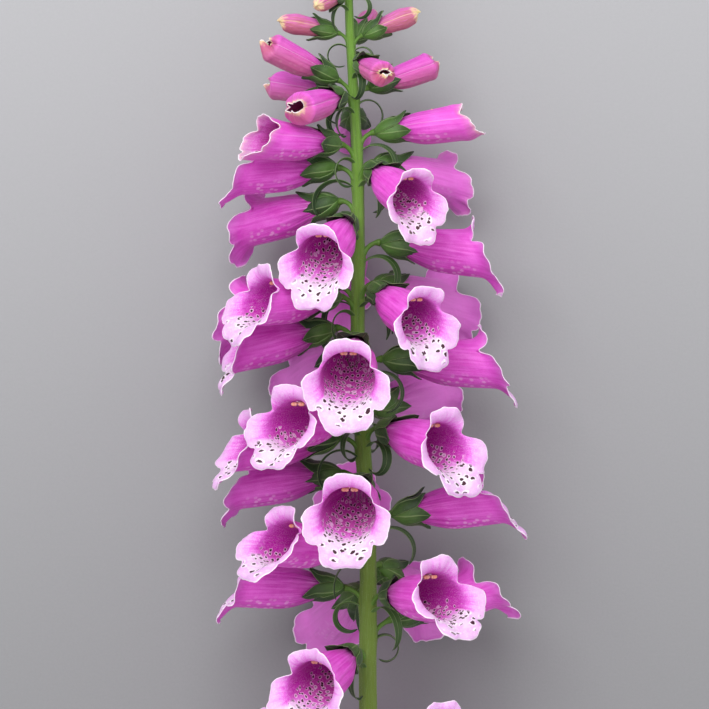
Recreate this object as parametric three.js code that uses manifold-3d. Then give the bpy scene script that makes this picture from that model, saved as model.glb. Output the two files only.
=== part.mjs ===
// Foxglove flower spike, cut and laid on a flat surface.
// Millimetres. The stem runs along +Y with its tip at +Y, and +Z is up, away from the surface.
// The bells beneath the stem rest on the surface at z = 0 and hold the stem above it.
import * as THREE from "three";
import { mergeVertices } from "three/addons/utils/BufferGeometryUtils.js";
import Module from "manifold-3d";

const wasm = await Module();
wasm.setup();

// ---- The stem ----
const STEM_LENGTH = 497;
const STEM_MIDDLE = 249.5; // the height on the stem at y = 0, where the whole spike is centred
const STEM_RADIUS_CUT = 4.1;
const STEM_RADIUS_TIP = 0.8;
const STEM_LEAN = -0.0276; // sideways, per millimetre of height
const STEM_SIDE_AT_MIDDLE = -3.75; // with this the whole spike is centred on x = 0
const STEM_SWAY = 0.9; // the stem's slight wave from node to node
const STEM_SWAY_LENGTH = 150;
const STEM_Z_LOW_END = 53; // height of the stem's axis over the surface at the cut end
const STEM_Z_DROP = 13; // how much lower the tip lies
const STEM_TAPER = 1.6; // above 1, the stem keeps its thickness longer
const STEM_SIDES = 9;
const STEM_RINGS = 10;

// ---- How the flowers change with their height on the stem ----
const GROWN_BELOW = 315; // above this height each flower is younger and smaller
const HALF_GROWN_RISE = 85; // a flower this much higher has half the full size
const GROWTH_POWER = 2.4; // how sharply the size falls round that height
const OPEN_SIZE = 0.96; // at this share of full size the mouth is wide open
const SHUT_SIZE = 0.6; // at this one and below it is a closed bud
const OPENING_POWER = 2; // above 1, the mouth opens late and then fast
const SIZE_VARIES = 0.06; // share that one flower may be larger or smaller than its neighbours

// ---- The bell, at full size, from the calyx base along its own axis ----
const BELL_START = 3.3; // the bell's narrow end, clear of the calyx floor
const BELL_LENGTH = 37.6; // from there to the throat
const BELL_BASE_RADIUS = 3;
const BELL_SWELLING = 4.6; // radius gained over the first part of the length
const BELL_SWOLLEN_AT = 0.6; // the share of the length where that ends
const BELL_MIDDLE_RING = 0.52; // the share of the length at which the middle ring of points lies
const BELL_WIDENING = 2.2; // radius gained evenly from end to end
const BELL_BREADTH = 1.12; // the bell is broader from side to side than it is high
const BELL_BELLY = 0.12; // how much the lower side bulges, as a share of the radius
const BELL_SAG = 1.2; // the throat's centre lies this far under the axis
const MOUTH_SLANT = 0.14; // the lower side is longer, and the upper one shorter, by this share
const WALL = 0.8;
const HOLLOW_FROM = 0.12; // the share of the bell's length at which its hollow begins
const THROAT_ANGLE = 10; // degrees between wall and axis at the throat
const YOUNG_CURL = -95; // where the lobes of an unopened mouth point
const YOUNG_LOBES = 0.9; // their length, as a share of the opened ones
const YOUNG_SLIMNESS = 0.87; // the radius of an unopened bell, as a share of an opened one's
const LIP_VARIES = 14; // degrees that one lower lip may turn more or less than another
const BELL_LENGTH_VARIES = 0.04; // share that one bell may be longer or shorter than another
// Round the mouth from the upper side: the angle, the length of the lobe's curve there, the share
// of it that is left beside or in a notch, and how far it turns outward, in degrees.
const MOUTH = [
  { round: 0, lobe: 8.2, share: 0.95, turn: 110 },
  { round: 28, lobe: 8.2, share: 1, turn: 107 },
  { round: 59, lobe: 8, share: 0.2, turn: 92 },
  { round: 82, lobe: 7.8, share: 0.9, turn: 80 },
  { round: 106, lobe: 8.3, share: 1, turn: 78 },
  { round: 132, lobe: 10, share: 0.7, turn: 74 },
  { round: 154, lobe: 12.4, share: 0.92, turn: 68 },
  { round: 180, lobe: 13.6, share: 1, turn: 62 },
];

// ---- Bud, calyx, stalk and bract at full size ----
const BUD_LENGTH = 46;
// Shares of the bud's length: how far along, and the radius there.
const BUD_PROFILE = [
  { share: 0, radius: 0.065 },
  { share: 0.28, radius: 0.155 },
  { share: 0.7, radius: 0.2 },
  { share: 0.94, radius: 0.15 },
];
const BUD_SIDES = 7;
// Distances from the calyx base along the flower's axis, and radii round it.
const CALYX_CUP = { along: 3.2, radius: 5.7, floor: 0.9 };
const CALYX_NOTCH = { along: 8.5, radius: 6.5 };
const CALYX_TIP = { along: 16.5, radius: 8.9 };
const CALYX_LOOSENESS = 0.7; // added to each of these radii, at any size
const CALYX_WALL = 0.7;
const SEPALS = 5;
const HALF_SEPAL = Math.PI / SEPALS; // the angle from the middle of a sepal to its side
const GREEN_BUD = [
  { along: 6, radius: 8 },
  { along: 20, radius: 8 },
];
const GREEN_BUD_LENGTH = 31;
const STALK_REACH = 6.8; // from the stem's surface outward to the calyx base
const STALK_RISE = 6.5; // from where it leaves the stem up to the calyx base
const STALK_RADIUS = 1.05;
const STALK_THINNEST = 0.5; // a young flower's stalk is never thinner than this share
const STALK_ROOT = 1; // from the stem's axis to the stalk's first ring of points
const BRACT_LENGTH = 27;
const BRACT_WIDTH = 3.6;
const BRACT_THICK = 0.7;
const BRACT_START_ANGLE = 30; // above level, where it leaves the stem
const BRACT_TURN = 235; // how far it curls down and back in
const BRACT_STEPS = 4;
const BRACT_BELOW_STALK = 2.5; // its foot is this far under the foot of the flower's stalk
const BRACT_SUNK = 1; // how deep its foot stands in the stem
const BRACT_WIDEST = { from: 0.15, span: 0.75 }; // the part of a half wave that shapes its width
const BRACT_TIP = 0.6; // length of its last point, in steps

// ---- The flowers: height of the calyx base on the stem, the way it points round the stem
// (0 up from the surface, 90 towards +X) and its droop below square to the stem. ----
const FLOWERS = [
  // the lowest ring
  { height: 80, round: -12, droop: 18 },
  { height: 86, round: 128, droop: -12 },
  { height: 92, round: -116, droop: 4 },
  { height: 100, round: -62, droop: -5 },
  { height: 107.5, round: 36, droop: 0 },
  { height: 109.5, round: 178, droop: 29 },
  // right side, from below upward
  { height: 151.5, round: 108, droop: -18 },
  { height: 196, round: 88, droop: -9 },
  { height: 261, round: 90, droop: 1 },
  { height: 310, round: 90, droop: 5 },
  { height: 356.5, round: 90, droop: -8 },
  { height: 397.5, round: 88, droop: -24 },
  // right and to the front
  { height: 163, round: 34, droop: -4 },
  { height: 232, round: 40, droop: 8 },
  { height: 291, round: 35, droop: 21 },
  { height: 341.5, round: 32, droop: 23 },
  { height: 386, round: 25, droop: 15 },
  // front
  { height: 139.5, round: -27, droop: 14 },
  { height: 210, round: -8, droop: 14 },
  { height: 269, round: -5, droop: 20 },
  { height: 320, round: -21, droop: 26 },
  { height: 371.5, round: -35, droop: 12 },
  { height: 414, round: -34, droop: 15 },
  // left and to the front
  { height: 181.5, round: -46, droop: -8 },
  { height: 236.5, round: -36, droop: 1 },
  { height: 287, round: -53, droop: 2 },
  { height: 351, round: -56, droop: -3 },
  { height: 398.5, round: -86, droop: -13 },
  // left side
  { height: 165, round: -88, droop: -4 },
  { height: 228, round: -73, droop: 3 },
  { height: 291, round: -113, droop: 13 },
  { height: 341.5, round: -90, droop: 2 },
  { height: 372.5, round: -119, droop: -12 },
  { height: 213, round: -102, droop: 6 },
  { height: 274, round: -80, droop: 10 },
  { height: 327.5, round: -116, droop: 10 },
  { height: 378.5, round: -71, droop: -25 },
  // right and beneath
  { height: 174, round: 152, droop: 22 },
  { height: 240, round: 150, droop: -9 },
  { height: 292.5, round: 138, droop: 9 },
  { height: 344, round: 126, droop: 8 },
  { height: 375.5, round: 110, droop: -21 },
  { height: 396, round: 160, droop: -32 },
  // beneath and to the left
  { height: 162.5, round: -162, droop: 19 },
  { height: 207, round: -174, droop: 8 },
  { height: 266.5, round: -154, droop: 18 },
  { height: 315, round: -168, droop: 30 },
  { height: 364.5, round: 182, droop: 10 },
];
// The tip: buds along a spiral, closer and smaller as it rises.
const TIP_BUDS = 18;
const TIP_COLOURED = 7; // the lowest of them show their petals
const TIP_FROM = 412;
const TIP_ROUND_FIRST = 70;
const TIP_ROUND_STEP = 137.5;
const TIP_CROWDING = 1.35;
const TIP_SHORT_OF_END = 2;
const TIP_DROOP = { lowest: -22, highest: -68 };

const radians = THREE.MathUtils.degToRad;
const { clamp, lerp } = THREE.MathUtils;

// The size usual at a height, as a share of full size, and how far such a flower has opened.
const usualSizeAt = (height) =>
  1 / (1 + (Math.max(height - GROWN_BELOW, 0) / HALF_GROWN_RISE) ** GROWTH_POWER);
const opennessAt = (height) =>
  clamp((usualSizeAt(height) - SHUT_SIZE) / (OPEN_SIZE - SHUT_SIZE), 0, 1) ** OPENING_POWER;

// What varies from flower to flower, each by its own number.
const LENGTH_TRAIT = 1;
const LIP_TRAIT = 2;
const SIZE_TRAIT = 169;
// A fixed chance value from -1 to 1 for a flower's number and one of its traits.
function vary(number, trait) {
  const wave = Math.sin(number * 12.9898 + trait * 78.233) * 43758.5453;
  return 2 * (wave - Math.floor(wave)) - 1;
}

const sizeOf = ({ height, number }) =>
  usualSizeAt(height) * (1 + SIZE_VARIES * vary(number, SIZE_TRAIT));

// The stem's axis and radius at a height.
function stemPoint(height) {
  const share = height / STEM_LENGTH;
  const sway = STEM_SWAY * Math.sin((2 * Math.PI * height) / STEM_SWAY_LENGTH);
  return new THREE.Vector3(
    STEM_SIDE_AT_MIDDLE + STEM_LEAN * (height - STEM_MIDDLE) + sway,
    height - STEM_MIDDLE,
    STEM_Z_LOW_END - STEM_Z_DROP * share * share,
  );
}
const stemRadius = (height) =>
  lerp(STEM_RADIUS_CUT, STEM_RADIUS_TIP, (height / STEM_LENGTH) ** STEM_TAPER);

const outward = (round) =>
  new THREE.Vector3(Math.sin(radians(round)), 0, Math.cos(radians(round)));
const ALONG_STEM = new THREE.Vector3(0, 1, 0);

// A flower's calyx is ahead of its petals in growth: its size is the square root of theirs. The
// petals begin at a place that grows with the calyx.
const calyxSize = (size) => Math.sqrt(size);
const petalsStart = (size) => BELL_START * calyxSize(size);

// Where a flower's calyx base is, with its own axes: x out of the calyx, z to its upper side.
function flowerPlace(flower) {
  const { height, round, droop } = flower;
  const size = sizeOf(flower);
  const reach = stemRadius(height) + STALK_REACH * size;
  const base = stemPoint(height).addScaledVector(outward(round), reach);
  const x = outward(round)
    .multiplyScalar(Math.cos(radians(droop)))
    .addScaledVector(ALONG_STEM, -Math.sin(radians(droop)));
  const z = outward(round)
    .multiplyScalar(Math.sin(radians(droop)))
    .addScaledVector(ALONG_STEM, Math.cos(radians(droop)));
  const y = new THREE.Vector3().crossVectors(z, x);
  return { size, base, matrix: new THREE.Matrix4().makeBasis(x, y, z).setPosition(base) };
}

// One closed skin over rings of points, each end closed to a point. Rings may differ in number of
// points. From the ring numbered back on, the skin runs back inside itself as the second face of
// a thin wall, and its triangles are laid the other way round, to match those of the first face.
function skin(rings, start, end, back = rings.length) {
  const points = [start, ...rings.flat(), end];
  const last = points.length - 1;
  const faces = [];
  let first = 1;
  rings.forEach((ring, number) => {
    const count = ring.length;
    const at = (i) => first + (i % count);
    if (number === 0) {
      for (let i = 0; i < count; i += 1) faces.push(0, at(i + 1), at(i));
    }
    if (number === rings.length - 1) {
      for (let i = 0; i < count; i += 1) faces.push(at(i), at(i + 1), last);
      return;
    }
    const nextCount = rings[number + 1].length;
    const next = (j) => first + count + (j % nextCount);
    let i = 0;
    let j = 0;
    while (i < count || j < nextCount) {
      const lead = (j + 0.5) / nextCount - (i + 0.5) / count;
      const alongThis = lead === 0 ? number < back : lead > 0;
      if (alongThis) {
        faces.push(at(i), at(i + 1), next(j));
        i += 1;
      } else {
        faces.push(at(i), next(j + 1), next(j));
        j += 1;
      }
    }
    first += count;
  });
  return new THREE.BufferGeometry().setFromPoints(points).setIndex(faces);
}

// A ring of points round the x axis.
const circle = (sides, x, radius, turned = 0) =>
  Array.from({ length: sides }, (_, side) => {
    const turn = turned + (2 * Math.PI * side) / sides;
    return new THREE.Vector3(x, -radius * Math.sin(turn), radius * Math.cos(turn));
  });

// ---- Bell ----
const ROUND_MOUTH = [
  ...MOUTH,
  ...MOUTH.slice(1, -1)
    .reverse()
    .map((part) => ({ ...part, round: 360 - part.round })),
];

// A point on the bell's middle surface and the profile's direction there. tube runs 0 to 1 from
// the narrow end to the throat, and flare 0 to 1 from there to the edge of the lobes.
function bellPoint(part, tube, flare, { size, open, longer, lipTurn }) {
  const upper = Math.cos(radians(part.round));
  const slanted = 1 - MOUTH_SLANT * open * upper * tube;
  let along = BELL_LENGTH * longer * tube * slanted;
  const swelling = Math.sin((Math.PI / 2) * Math.min(tube / BELL_SWOLLEN_AT, 1)) ** 2;
  let radius =
    (BELL_BASE_RADIUS + BELL_SWELLING * swelling + BELL_WIDENING * tube) *
    (1 - BELL_BELLY * Math.sin(Math.PI * tube) * upper) *
    lerp(YOUNG_SLIMNESS, 1, open);
  const start = radians(THROAT_ANGLE);
  const opened = part.turn + lipTurn * Math.max(-upper, 0);
  const turn = radians(lerp(YOUNG_CURL, opened, open));
  const bend = (turn - start) / part.lobe;
  const length = part.lobe * flare * lerp(YOUNG_LOBES, part.share, open);
  const angle = start + bend * length;
  along += (Math.sin(angle) - Math.sin(start)) / bend;
  radius += (Math.cos(start) - Math.cos(angle)) / bend;
  return {
    along: petalsStart(size) + along * size,
    radius: radius * size,
    angle,
    sag: BELL_SAG * tube * tube * size,
  };
}

// The same point moved off the middle surface by a share of the wall: 1 outside, -1 inside.
function bellVertex(part, tube, flare, side, form) {
  const { along, radius, angle, sag } = bellPoint(part, tube, flare, form);
  const off = (side * WALL) / 2;
  const out = radius + off * Math.cos(angle);
  const turn = radians(part.round);
  return new THREE.Vector3(
    along - off * Math.sin(angle),
    -out * BELL_BREADTH * Math.sin(turn),
    out * Math.cos(turn) - sag,
  );
}

// What one bell's form depends on: its size, how far it has opened, and its own chance traits.
function bellForm(flower) {
  return {
    size: sizeOf(flower),
    open: opennessAt(flower.height),
    longer: 1 + BELL_LENGTH_VARIES * vary(flower.number, LENGTH_TRAIT),
    lipTurn: LIP_VARIES * vary(flower.number, LIP_TRAIT),
  };
}

// A hollow bell: rings 0 to 3 run outside, from the narrow end to the edge of the lobes, and rings
// 4 and 5 inside, back to the throat.
const THROAT_RING = 2;
const INSIDE_FROM = 4;
const LAST_RING = 5;
function bell(form) {
  const { size } = form;
  const ring = (tube, flare, side) =>
    ROUND_MOUTH.map((part) => bellVertex(part, tube, flare, side, form));
  const rings = [
    ring(0, 0, 1),
    ring(BELL_MIDDLE_RING, 0, 1),
    ring(1, 0, 1),
    ring(1, 1, 1),
    ring(1, 1, -1),
    ring(1, 0, -1),
  ];
  const start = new THREE.Vector3(petalsStart(size), 0, 0);
  const deep = new THREE.Vector3(start.x + HOLLOW_FROM * BELL_LENGTH * size, 0, 0);
  return skin(rings, start, deep, INSIDE_FROM);
}

function bud(size) {
  const length = BUD_LENGTH * size;
  const start = petalsStart(size);
  const rings = BUD_PROFILE.map(({ share, radius }) =>
    circle(BUD_SIDES, start + share * length, radius * length),
  );
  return skin(
    rings,
    new THREE.Vector3(start, 0, 0),
    new THREE.Vector3(start + length, 0, 0),
  );
}

// The point straight across the wall from a point of the throat or the lobes; any other point has
// none, and is given back itself.
function acrossWall(index) {
  const count = ROUND_MOUTH.length;
  const ring = Math.floor((index - 1) / count);
  if (ring < THROAT_RING || ring > LAST_RING) return index;
  return index + (THROAT_RING + LAST_RING - 2 * ring) * count;
}

// Petals that reach the surface lie flat on it: whichever face of the wall is lower there stops at
// the surface, and the other one a wall's thickness over it.
function pressOnSurface(geometry, matrix) {
  const inverse = matrix.clone().invert();
  const position = geometry.getAttribute("position");
  const placed = Array.from({ length: position.count }, (_, index) =>
    new THREE.Vector3().fromBufferAttribute(position, index).applyMatrix4(matrix),
  );
  placed.forEach((point, index) => {
    const floor = point.z > placed[acrossWall(index)].z ? WALL : 0;
    if (point.z >= floor) return;
    const pressed = new THREE.Vector3(point.x, point.y, floor).applyMatrix4(inverse);
    position.setXYZ(index, pressed.x, pressed.y, pressed.z);
  });
  return geometry;
}

// ---- Green parts, each as a solid in the part's own frame ----
function solid(geometry, matrix = new THREE.Matrix4()) {
  const placed = geometry.clone().applyMatrix4(matrix);
  const merged = mergeVertices(placed, 1e-3);
  return new wasm.Manifold(
    new wasm.Mesh({
      numProp: 3,
      vertProperties: merged.getAttribute("position").array,
      triVerts: new Uint32Array(merged.index.array),
    }),
  );
}

function stem() {
  const rings = Array.from({ length: STEM_RINGS + 1 }, (_, ring) => {
    const height = (STEM_LENGTH * ring) / STEM_RINGS;
    const centre = stemPoint(height);
    const radius = stemRadius(height);
    return Array.from({ length: STEM_SIDES }, (_, side) => {
      const turn = (2 * Math.PI * side) / STEM_SIDES;
      return new THREE.Vector3(
        centre.x + radius * Math.sin(turn),
        centre.y,
        centre.z + radius * Math.cos(turn),
      );
    });
  });
  return skin(rings, stemPoint(0), stemPoint(STEM_LENGTH));
}

// The stalk from inside the stem out to the calyx base, as rings of points.
function stalkRings(flower) {
  const { size, base, matrix } = flowerPlace(flower);
  const root = stemPoint(flower.height - STALK_RISE * size);
  const aim = new THREE.Vector3().setFromMatrixColumn(matrix, 0);
  const across = new THREE.Vector3().setFromMatrixColumn(matrix, 1);
  const along = base.clone().sub(root).normalize();
  const radius = STALK_RADIUS * Math.max(size, STALK_THINNEST);
  const ring = (centre, direction) => {
    const up = new THREE.Vector3().crossVectors(direction, across).normalize();
    return circle(SEPALS, 0, radius, HALF_SEPAL).map(({ y, z }) =>
      centre.clone().addScaledVector(across, y).addScaledVector(up, z),
    );
  };
  const inside = root.clone().addScaledVector(along, STALK_ROOT);
  return { root, rings: [ring(inside, along), ring(base, along.add(aim).normalize())] };
}

// A stalk that ends in five pointed sepals, joined into one cup round the bell's narrow end.
function stalkAndCalyx(flower) {
  const { matrix } = flowerPlace(flower);
  const size = calyxSize(sizeOf(flower));
  const rim = (inset) =>
    Array.from({ length: 2 * SEPALS }, (_, point) => {
      const { along, radius } = point % 2 ? CALYX_TIP : CALYX_NOTCH;
      const turn = HALF_SEPAL * (1 + point);
      const out = radius * size + CALYX_LOOSENESS - inset;
      return new THREE.Vector3(along * size, -out * Math.sin(turn), out * Math.cos(turn));
    });
  const { along, radius, floor } = CALYX_CUP;
  const cupRadius = radius * size + CALYX_LOOSENESS;
  const cup = [
    circle(SEPALS, along * size, cupRadius, HALF_SEPAL),
    rim(0),
    rim(CALYX_WALL),
    circle(SEPALS, along * size, cupRadius - CALYX_WALL, HALF_SEPAL),
  ];
  const place = (point) => point.applyMatrix4(matrix);
  const { root, rings } = stalkRings(flower);
  const end = place(new THREE.Vector3(floor * size, 0, 0));
  return skin([...rings, ...cup.map((ring) => ring.map(place))], root, end);
}

// A green bud too young to show its petals, on its stalk.
function stalkAndGreenBud(flower) {
  const { size, matrix } = flowerPlace(flower);
  const place = (point) => point.applyMatrix4(matrix);
  const { root, rings } = stalkRings(flower);
  const egg = GREEN_BUD.map(({ along, radius }) =>
    circle(SEPALS, along * size, radius * size, HALF_SEPAL).map(place),
  );
  const end = place(new THREE.Vector3(GREEN_BUD_LENGTH * size, 0, 0));
  return skin([...rings, ...egg], root, end);
}

// A narrow leaf under the flower, curling out, down and back towards the stem.
function bract({ height, round }) {
  const size = calyxSize(usualSizeAt(height));
  const away = outward(round);
  const across = new THREE.Vector3().crossVectors(ALONG_STEM, away);
  const step = (BRACT_LENGTH * size) / BRACT_STEPS;
  const foot = height - STALK_RISE * size - BRACT_BELOW_STALK;
  const centre = stemPoint(foot).addScaledVector(away, stemRadius(foot) - BRACT_SUNK);
  const root = centre.clone().addScaledVector(away, -BRACT_SUNK / 2);
  const rings = [];
  for (let ring = 0; ring <= BRACT_STEPS; ring += 1) {
    const share = ring / BRACT_STEPS;
    const angle = radians(BRACT_START_ANGLE - BRACT_TURN * share);
    const along = away
      .clone()
      .multiplyScalar(Math.cos(angle))
      .addScaledVector(ALONG_STEM, Math.sin(angle));
    const up = new THREE.Vector3().crossVectors(along, across);
    const swell = Math.sin(Math.PI * (BRACT_WIDEST.from + BRACT_WIDEST.span * share));
    const halfWidth = (BRACT_WIDTH / 2) * size * swell;
    rings.push([
      centre.clone().addScaledVector(across, halfWidth),
      centre.clone().addScaledVector(up, BRACT_THICK),
      centre.clone().addScaledVector(across, -halfWidth),
    ]);
    centre.addScaledVector(along, ring < BRACT_STEPS ? step : step * BRACT_TIP);
  }
  return skin(rings, root, centre);
}

function tipBuds() {
  return Array.from({ length: TIP_BUDS }, (_, number) => {
    const share = (number + 1) / TIP_BUDS;
    const rise = 1 - (1 - share) ** TIP_CROWDING;
    return {
      height: lerp(TIP_FROM, STEM_LENGTH - TIP_SHORT_OF_END, rise),
      round: TIP_ROUND_FIRST + TIP_ROUND_STEP * number,
      droop: lerp(TIP_DROOP.lowest, TIP_DROOP.highest, share * share),
      number: FLOWERS.length + 1 + number,
    };
  });
}

const material = (color, roughness) =>
  new THREE.MeshStandardMaterial({ color, roughness, metalness: 0 });
const GREEN = material(0x5c7a2e, 0.6);
const MAGENTA = material(0xc455c0, 0.55);
const PINK = material(0xcf8298, 0.6);

const spike = new THREE.Group();

function addPetals(kind, flower, geometry, matter) {
  const mesh = new THREE.Mesh(geometry, matter);
  mesh.name = `${kind}_${String(flower.number).padStart(2, "0")}`;
  mesh.applyMatrix4(flowerPlace(flower).matrix);
  spike.add(mesh);
}

const greens = [solid(stem())];
FLOWERS.map((place, index) => ({ ...place, number: index + 1 })).forEach((flower) => {
  const form = bellForm(flower);
  if (form.open > 0) {
    const petals = pressOnSurface(bell(form), flowerPlace(flower).matrix);
    addPetals("bell", flower, petals, MAGENTA);
  } else {
    addPetals("bud", flower, bud(form.size), PINK);
  }
  greens.push(solid(stalkAndCalyx(flower)), solid(bract(flower)));
});
tipBuds().forEach((flower, index) => {
  if (index < TIP_COLOURED) {
    addPetals("bud", flower, bud(sizeOf(flower)), PINK);
    greens.push(solid(stalkAndCalyx(flower)), solid(bract(flower)));
  } else {
    greens.push(solid(stalkAndGreenBud(flower)));
  }
});

function leafyStem() {
  const joined = greens.reduce((whole, piece) => whole.add(piece));
  const mesh = joined.getMesh();
  const geometry = new THREE.BufferGeometry()
    .setAttribute("position", new THREE.BufferAttribute(mesh.vertProperties, 3))
    .setIndex(new THREE.BufferAttribute(mesh.triVerts, 1));
  const made = new THREE.Mesh(geometry, GREEN);
  made.name = "leafy_stem";
  return made;
}
spike.add(leafyStem());

export default spike;
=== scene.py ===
"""A cut foxglove flower spike lying on a table, drawn round its solid model.

The stem runs along +Y with its tip at +Y, and +Z is up from the table at z = 0. Shapes are worked
out in millimetres, as in the solid model, and go into Blender in metres. A flower has axes of its
own, with their origin at the base of its calyx: x out along the flower, z to its upper side. An
angle round a flower is counted from its upper side, and one round the stem from straight up.
"""

import bpy
import numpy as np
from bpy.props import FloatProperty, FloatVectorProperty, PointerProperty
from mathutils import Color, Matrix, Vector


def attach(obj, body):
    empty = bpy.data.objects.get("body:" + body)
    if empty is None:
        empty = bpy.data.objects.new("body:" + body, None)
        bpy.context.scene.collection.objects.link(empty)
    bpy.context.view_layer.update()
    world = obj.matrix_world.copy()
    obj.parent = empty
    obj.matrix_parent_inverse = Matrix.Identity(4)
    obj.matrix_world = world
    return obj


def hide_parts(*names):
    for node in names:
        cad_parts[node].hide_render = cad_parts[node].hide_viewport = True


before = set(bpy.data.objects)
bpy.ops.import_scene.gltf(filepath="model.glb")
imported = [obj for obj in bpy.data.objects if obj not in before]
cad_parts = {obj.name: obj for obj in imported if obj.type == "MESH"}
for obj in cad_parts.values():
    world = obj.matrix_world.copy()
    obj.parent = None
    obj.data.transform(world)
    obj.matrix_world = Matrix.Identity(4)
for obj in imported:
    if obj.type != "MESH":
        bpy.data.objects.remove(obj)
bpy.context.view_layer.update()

bl_info = {
    "name": "Foxglove Flower Spike",
    "version": (1, 0, 0),
    "blender": (4, 5, 0),
    "location": "3D View > Sidebar > Foxglove",
    "description": "Draws a cut foxglove spike round its solid model",
    "category": "Object",
}

MM = 0.001
TURN = 2 * np.pi

# ---- The stem, as in the solid model ----
STEM_LENGTH = 497
STEM_MIDDLE = 249.5
STEM_RADIUS_CUT = 4.1
STEM_RADIUS_TIP = 0.8
STEM_LEAN = -0.0276
STEM_SIDE_AT_MIDDLE = -3.75
STEM_SWAY = 0.9
STEM_SWAY_LENGTH = 150
STEM_Z_LOW_END = 53
STEM_Z_DROP = 13
STEM_TAPER = 1.6

# ---- How the flowers change with their height ----
GROWN_BELOW = 315
HALF_GROWN_RISE = 85
GROWTH_POWER = 2.4
OPEN_SIZE = 0.96
SHUT_SIZE = 0.6
OPENING_POWER = 2
SIZE_VARIES = 0.06

# ---- The bell at full size ----
BELL_START = 3.3
BELL_LENGTH = 37.6
BELL_BASE_RADIUS = 3
BELL_SWELLING = 4.6
BELL_SWOLLEN_AT = 0.6
BELL_WIDENING = 2.2
BELL_BREADTH = 1.12
BELL_BELLY = 0.12
BELL_SAG = 1.2
MOUTH_SLANT = 0.14
THROAT_ANGLE = 10
YOUNG_CURL = -95
YOUNG_LOBES = 0.9
YOUNG_SLIMNESS = 0.87
LIP_VARIES = 14
BELL_LENGTH_VARIES = 0.04
HOLLOW_FROM = 0.12
LENGTH_TRAIT = 1
LIP_TRAIT = 2
SIZE_TRAIT = 169
# Round the mouth: angle, length of the lobe's curve, and degrees it turns outward.
MOUTH = np.array(
    [
        (0, 8.2, 110), (28, 8.2, 107), (59, 8, 92), (82, 7.8, 80),
        (106, 8.3, 78), (132, 10, 74), (154, 12.4, 68), (180, 13.6, 62),
    ]
)
# The edge of the lobes: angle, and the share of the lobe's length that is there.
EDGE = np.array(
    [
        (0, 0.95), (12, 1), (22, 0.99), (30, 0.9), (37, 0.7), (44, 0.46),
        (51, 0.26), (57, 0.12), (62, 0.1), (66, 0.36), (71, 0.64), (78, 0.87),
        (87, 0.99), (110, 1), (122, 0.94), (129, 0.8), (133, 0.6), (137, 0.72),
        (144, 0.83), (154, 0.91), (167, 0.98), (180, 1),
    ]
)

# ---- Bud, calyx, stalk and bract at full size ----
BUD_LENGTH = 46
BUD_PROFILE = np.array([(0, 0.065), (0.28, 0.155), (0.7, 0.2), (0.94, 0.15), (1, 0.03)])
CALYX_LOOSENESS = 0.7
SEPALS = 5
GREEN_BUD_LENGTH = 31
STALK_REACH = 6.8
STALK_RISE = 6.5
BRACT_LENGTH = 27
BRACT_WIDTH = 3.6
BRACT_START_ANGLE = 30
BRACT_TURN = 235
BRACT_STEPS = 4
BRACT_BELOW_STALK = 2.5
BRACT_TIP = 0.6

# ---- Each flower: height on the stem, angle round it, droop ----
FLOWERS = np.array(
    [
        (80, -12, 18), (86, 128, -12), (92, -116, 4), (100, -62, -5),
        (107.5, 36, 0), (109.5, 178, 29), (151.5, 108, -18), (196, 88, -9),
        (261, 90, 1), (310, 90, 5), (356.5, 90, -8), (397.5, 88, -24),
        (163, 34, -4), (232, 40, 8), (291, 35, 21), (341.5, 32, 23),
        (386, 25, 15), (139.5, -27, 14), (210, -8, 14), (269, -5, 20),
        (320, -21, 26), (371.5, -35, 12), (414, -34, 15), (181.5, -46, -8),
        (236.5, -36, 1), (287, -53, 2), (351, -56, -3), (398.5, -86, -13),
        (165, -88, -4), (228, -73, 3), (291, -113, 13), (341.5, -90, 2),
        (372.5, -119, -12), (213, -102, 6), (274, -80, 10), (327.5, -116, 10),
        (378.5, -71, -25), (174, 152, 22), (240, 150, -9), (292.5, 138, 9),
        (344, 126, 8), (375.5, 110, -21), (396, 160, -32), (162.5, -162, 19),
        (207, -174, 8), (266.5, -154, 18), (315, -168, 30), (364.5, 182, 10),
    ]
)
TIP_BUDS = 18
TIP_COLOURED = 7
TIP_FROM = 412
TIP_ROUND_FIRST = 70
TIP_ROUND_STEP = 137.5
TIP_CROWDING = 1.35
TIP_SHORT_OF_END = 2
TIP_DROOP = (-22, -68)

# ---- How finely the drawn surfaces are divided, and how many hairs they bear ----
SIDES = 120
TUBE_ROWS = 26
LOBE_ROWS = 18
BUD_ROWS = BUD_SIDES = 48
STEM_ROWS, STEM_SIDES = 420, 40
SEPAL_ROWS, SEPAL_SIDES = 15, 14
BRACT_ROWS, BRACT_SIDES = 26, 12
STEM_HAIRS = 4200
SEPAL_HAIRS = 6000
LIP_HAIRS = 26
HAIR_THICKNESS = 0.05
HAIRS_ABOVE = 3  # lips lower than this lie on the table

# ---- Drawn forms, in millimetres at full size unless a line says otherwise ----
SPOT_PLACE = 9.5  # sideways millimetres to a radian round the mouth
EDGE_RAGGED = 0.036  # a share of the lobes' length
CHANNEL_DEPTH, CHANNEL_WIDTH = 1.3, 0.2  # down the lower lip; widths and places in radians
SHOULDER_HEIGHT, SHOULDER_PLACE, SHOULDER_WIDTH = 0.5, 0.42, 0.16  # on either side of it
PAINTED_LIGHT_FROM, PAINTED_LIGHT_TO = 118, 132  # degrees round the stem: flowers beyond lie in its shade and get painted light, a paler outside
RIBS, RIB_HEIGHT = 15, 0.12
FOLD_ANGLE = 80  # in degrees from the upper side, where a young flower's halves meet
FOLD_COSINE = 0.17  # the cosine of about that angle, where the pale crease is
FOLD_WIDTH = 0.15  # in radians round the flower
FOLD_DEPTH = 1.3
CRUMPLE_HEIGHT = 1.5
YOUNG_NARROWED = 0.25  # a share of a shut mouth's lobes
YOUNG_FLATTENED = 0.4  # a share of a shut mouth's height
YOUNG_RAISED = 1.6
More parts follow.
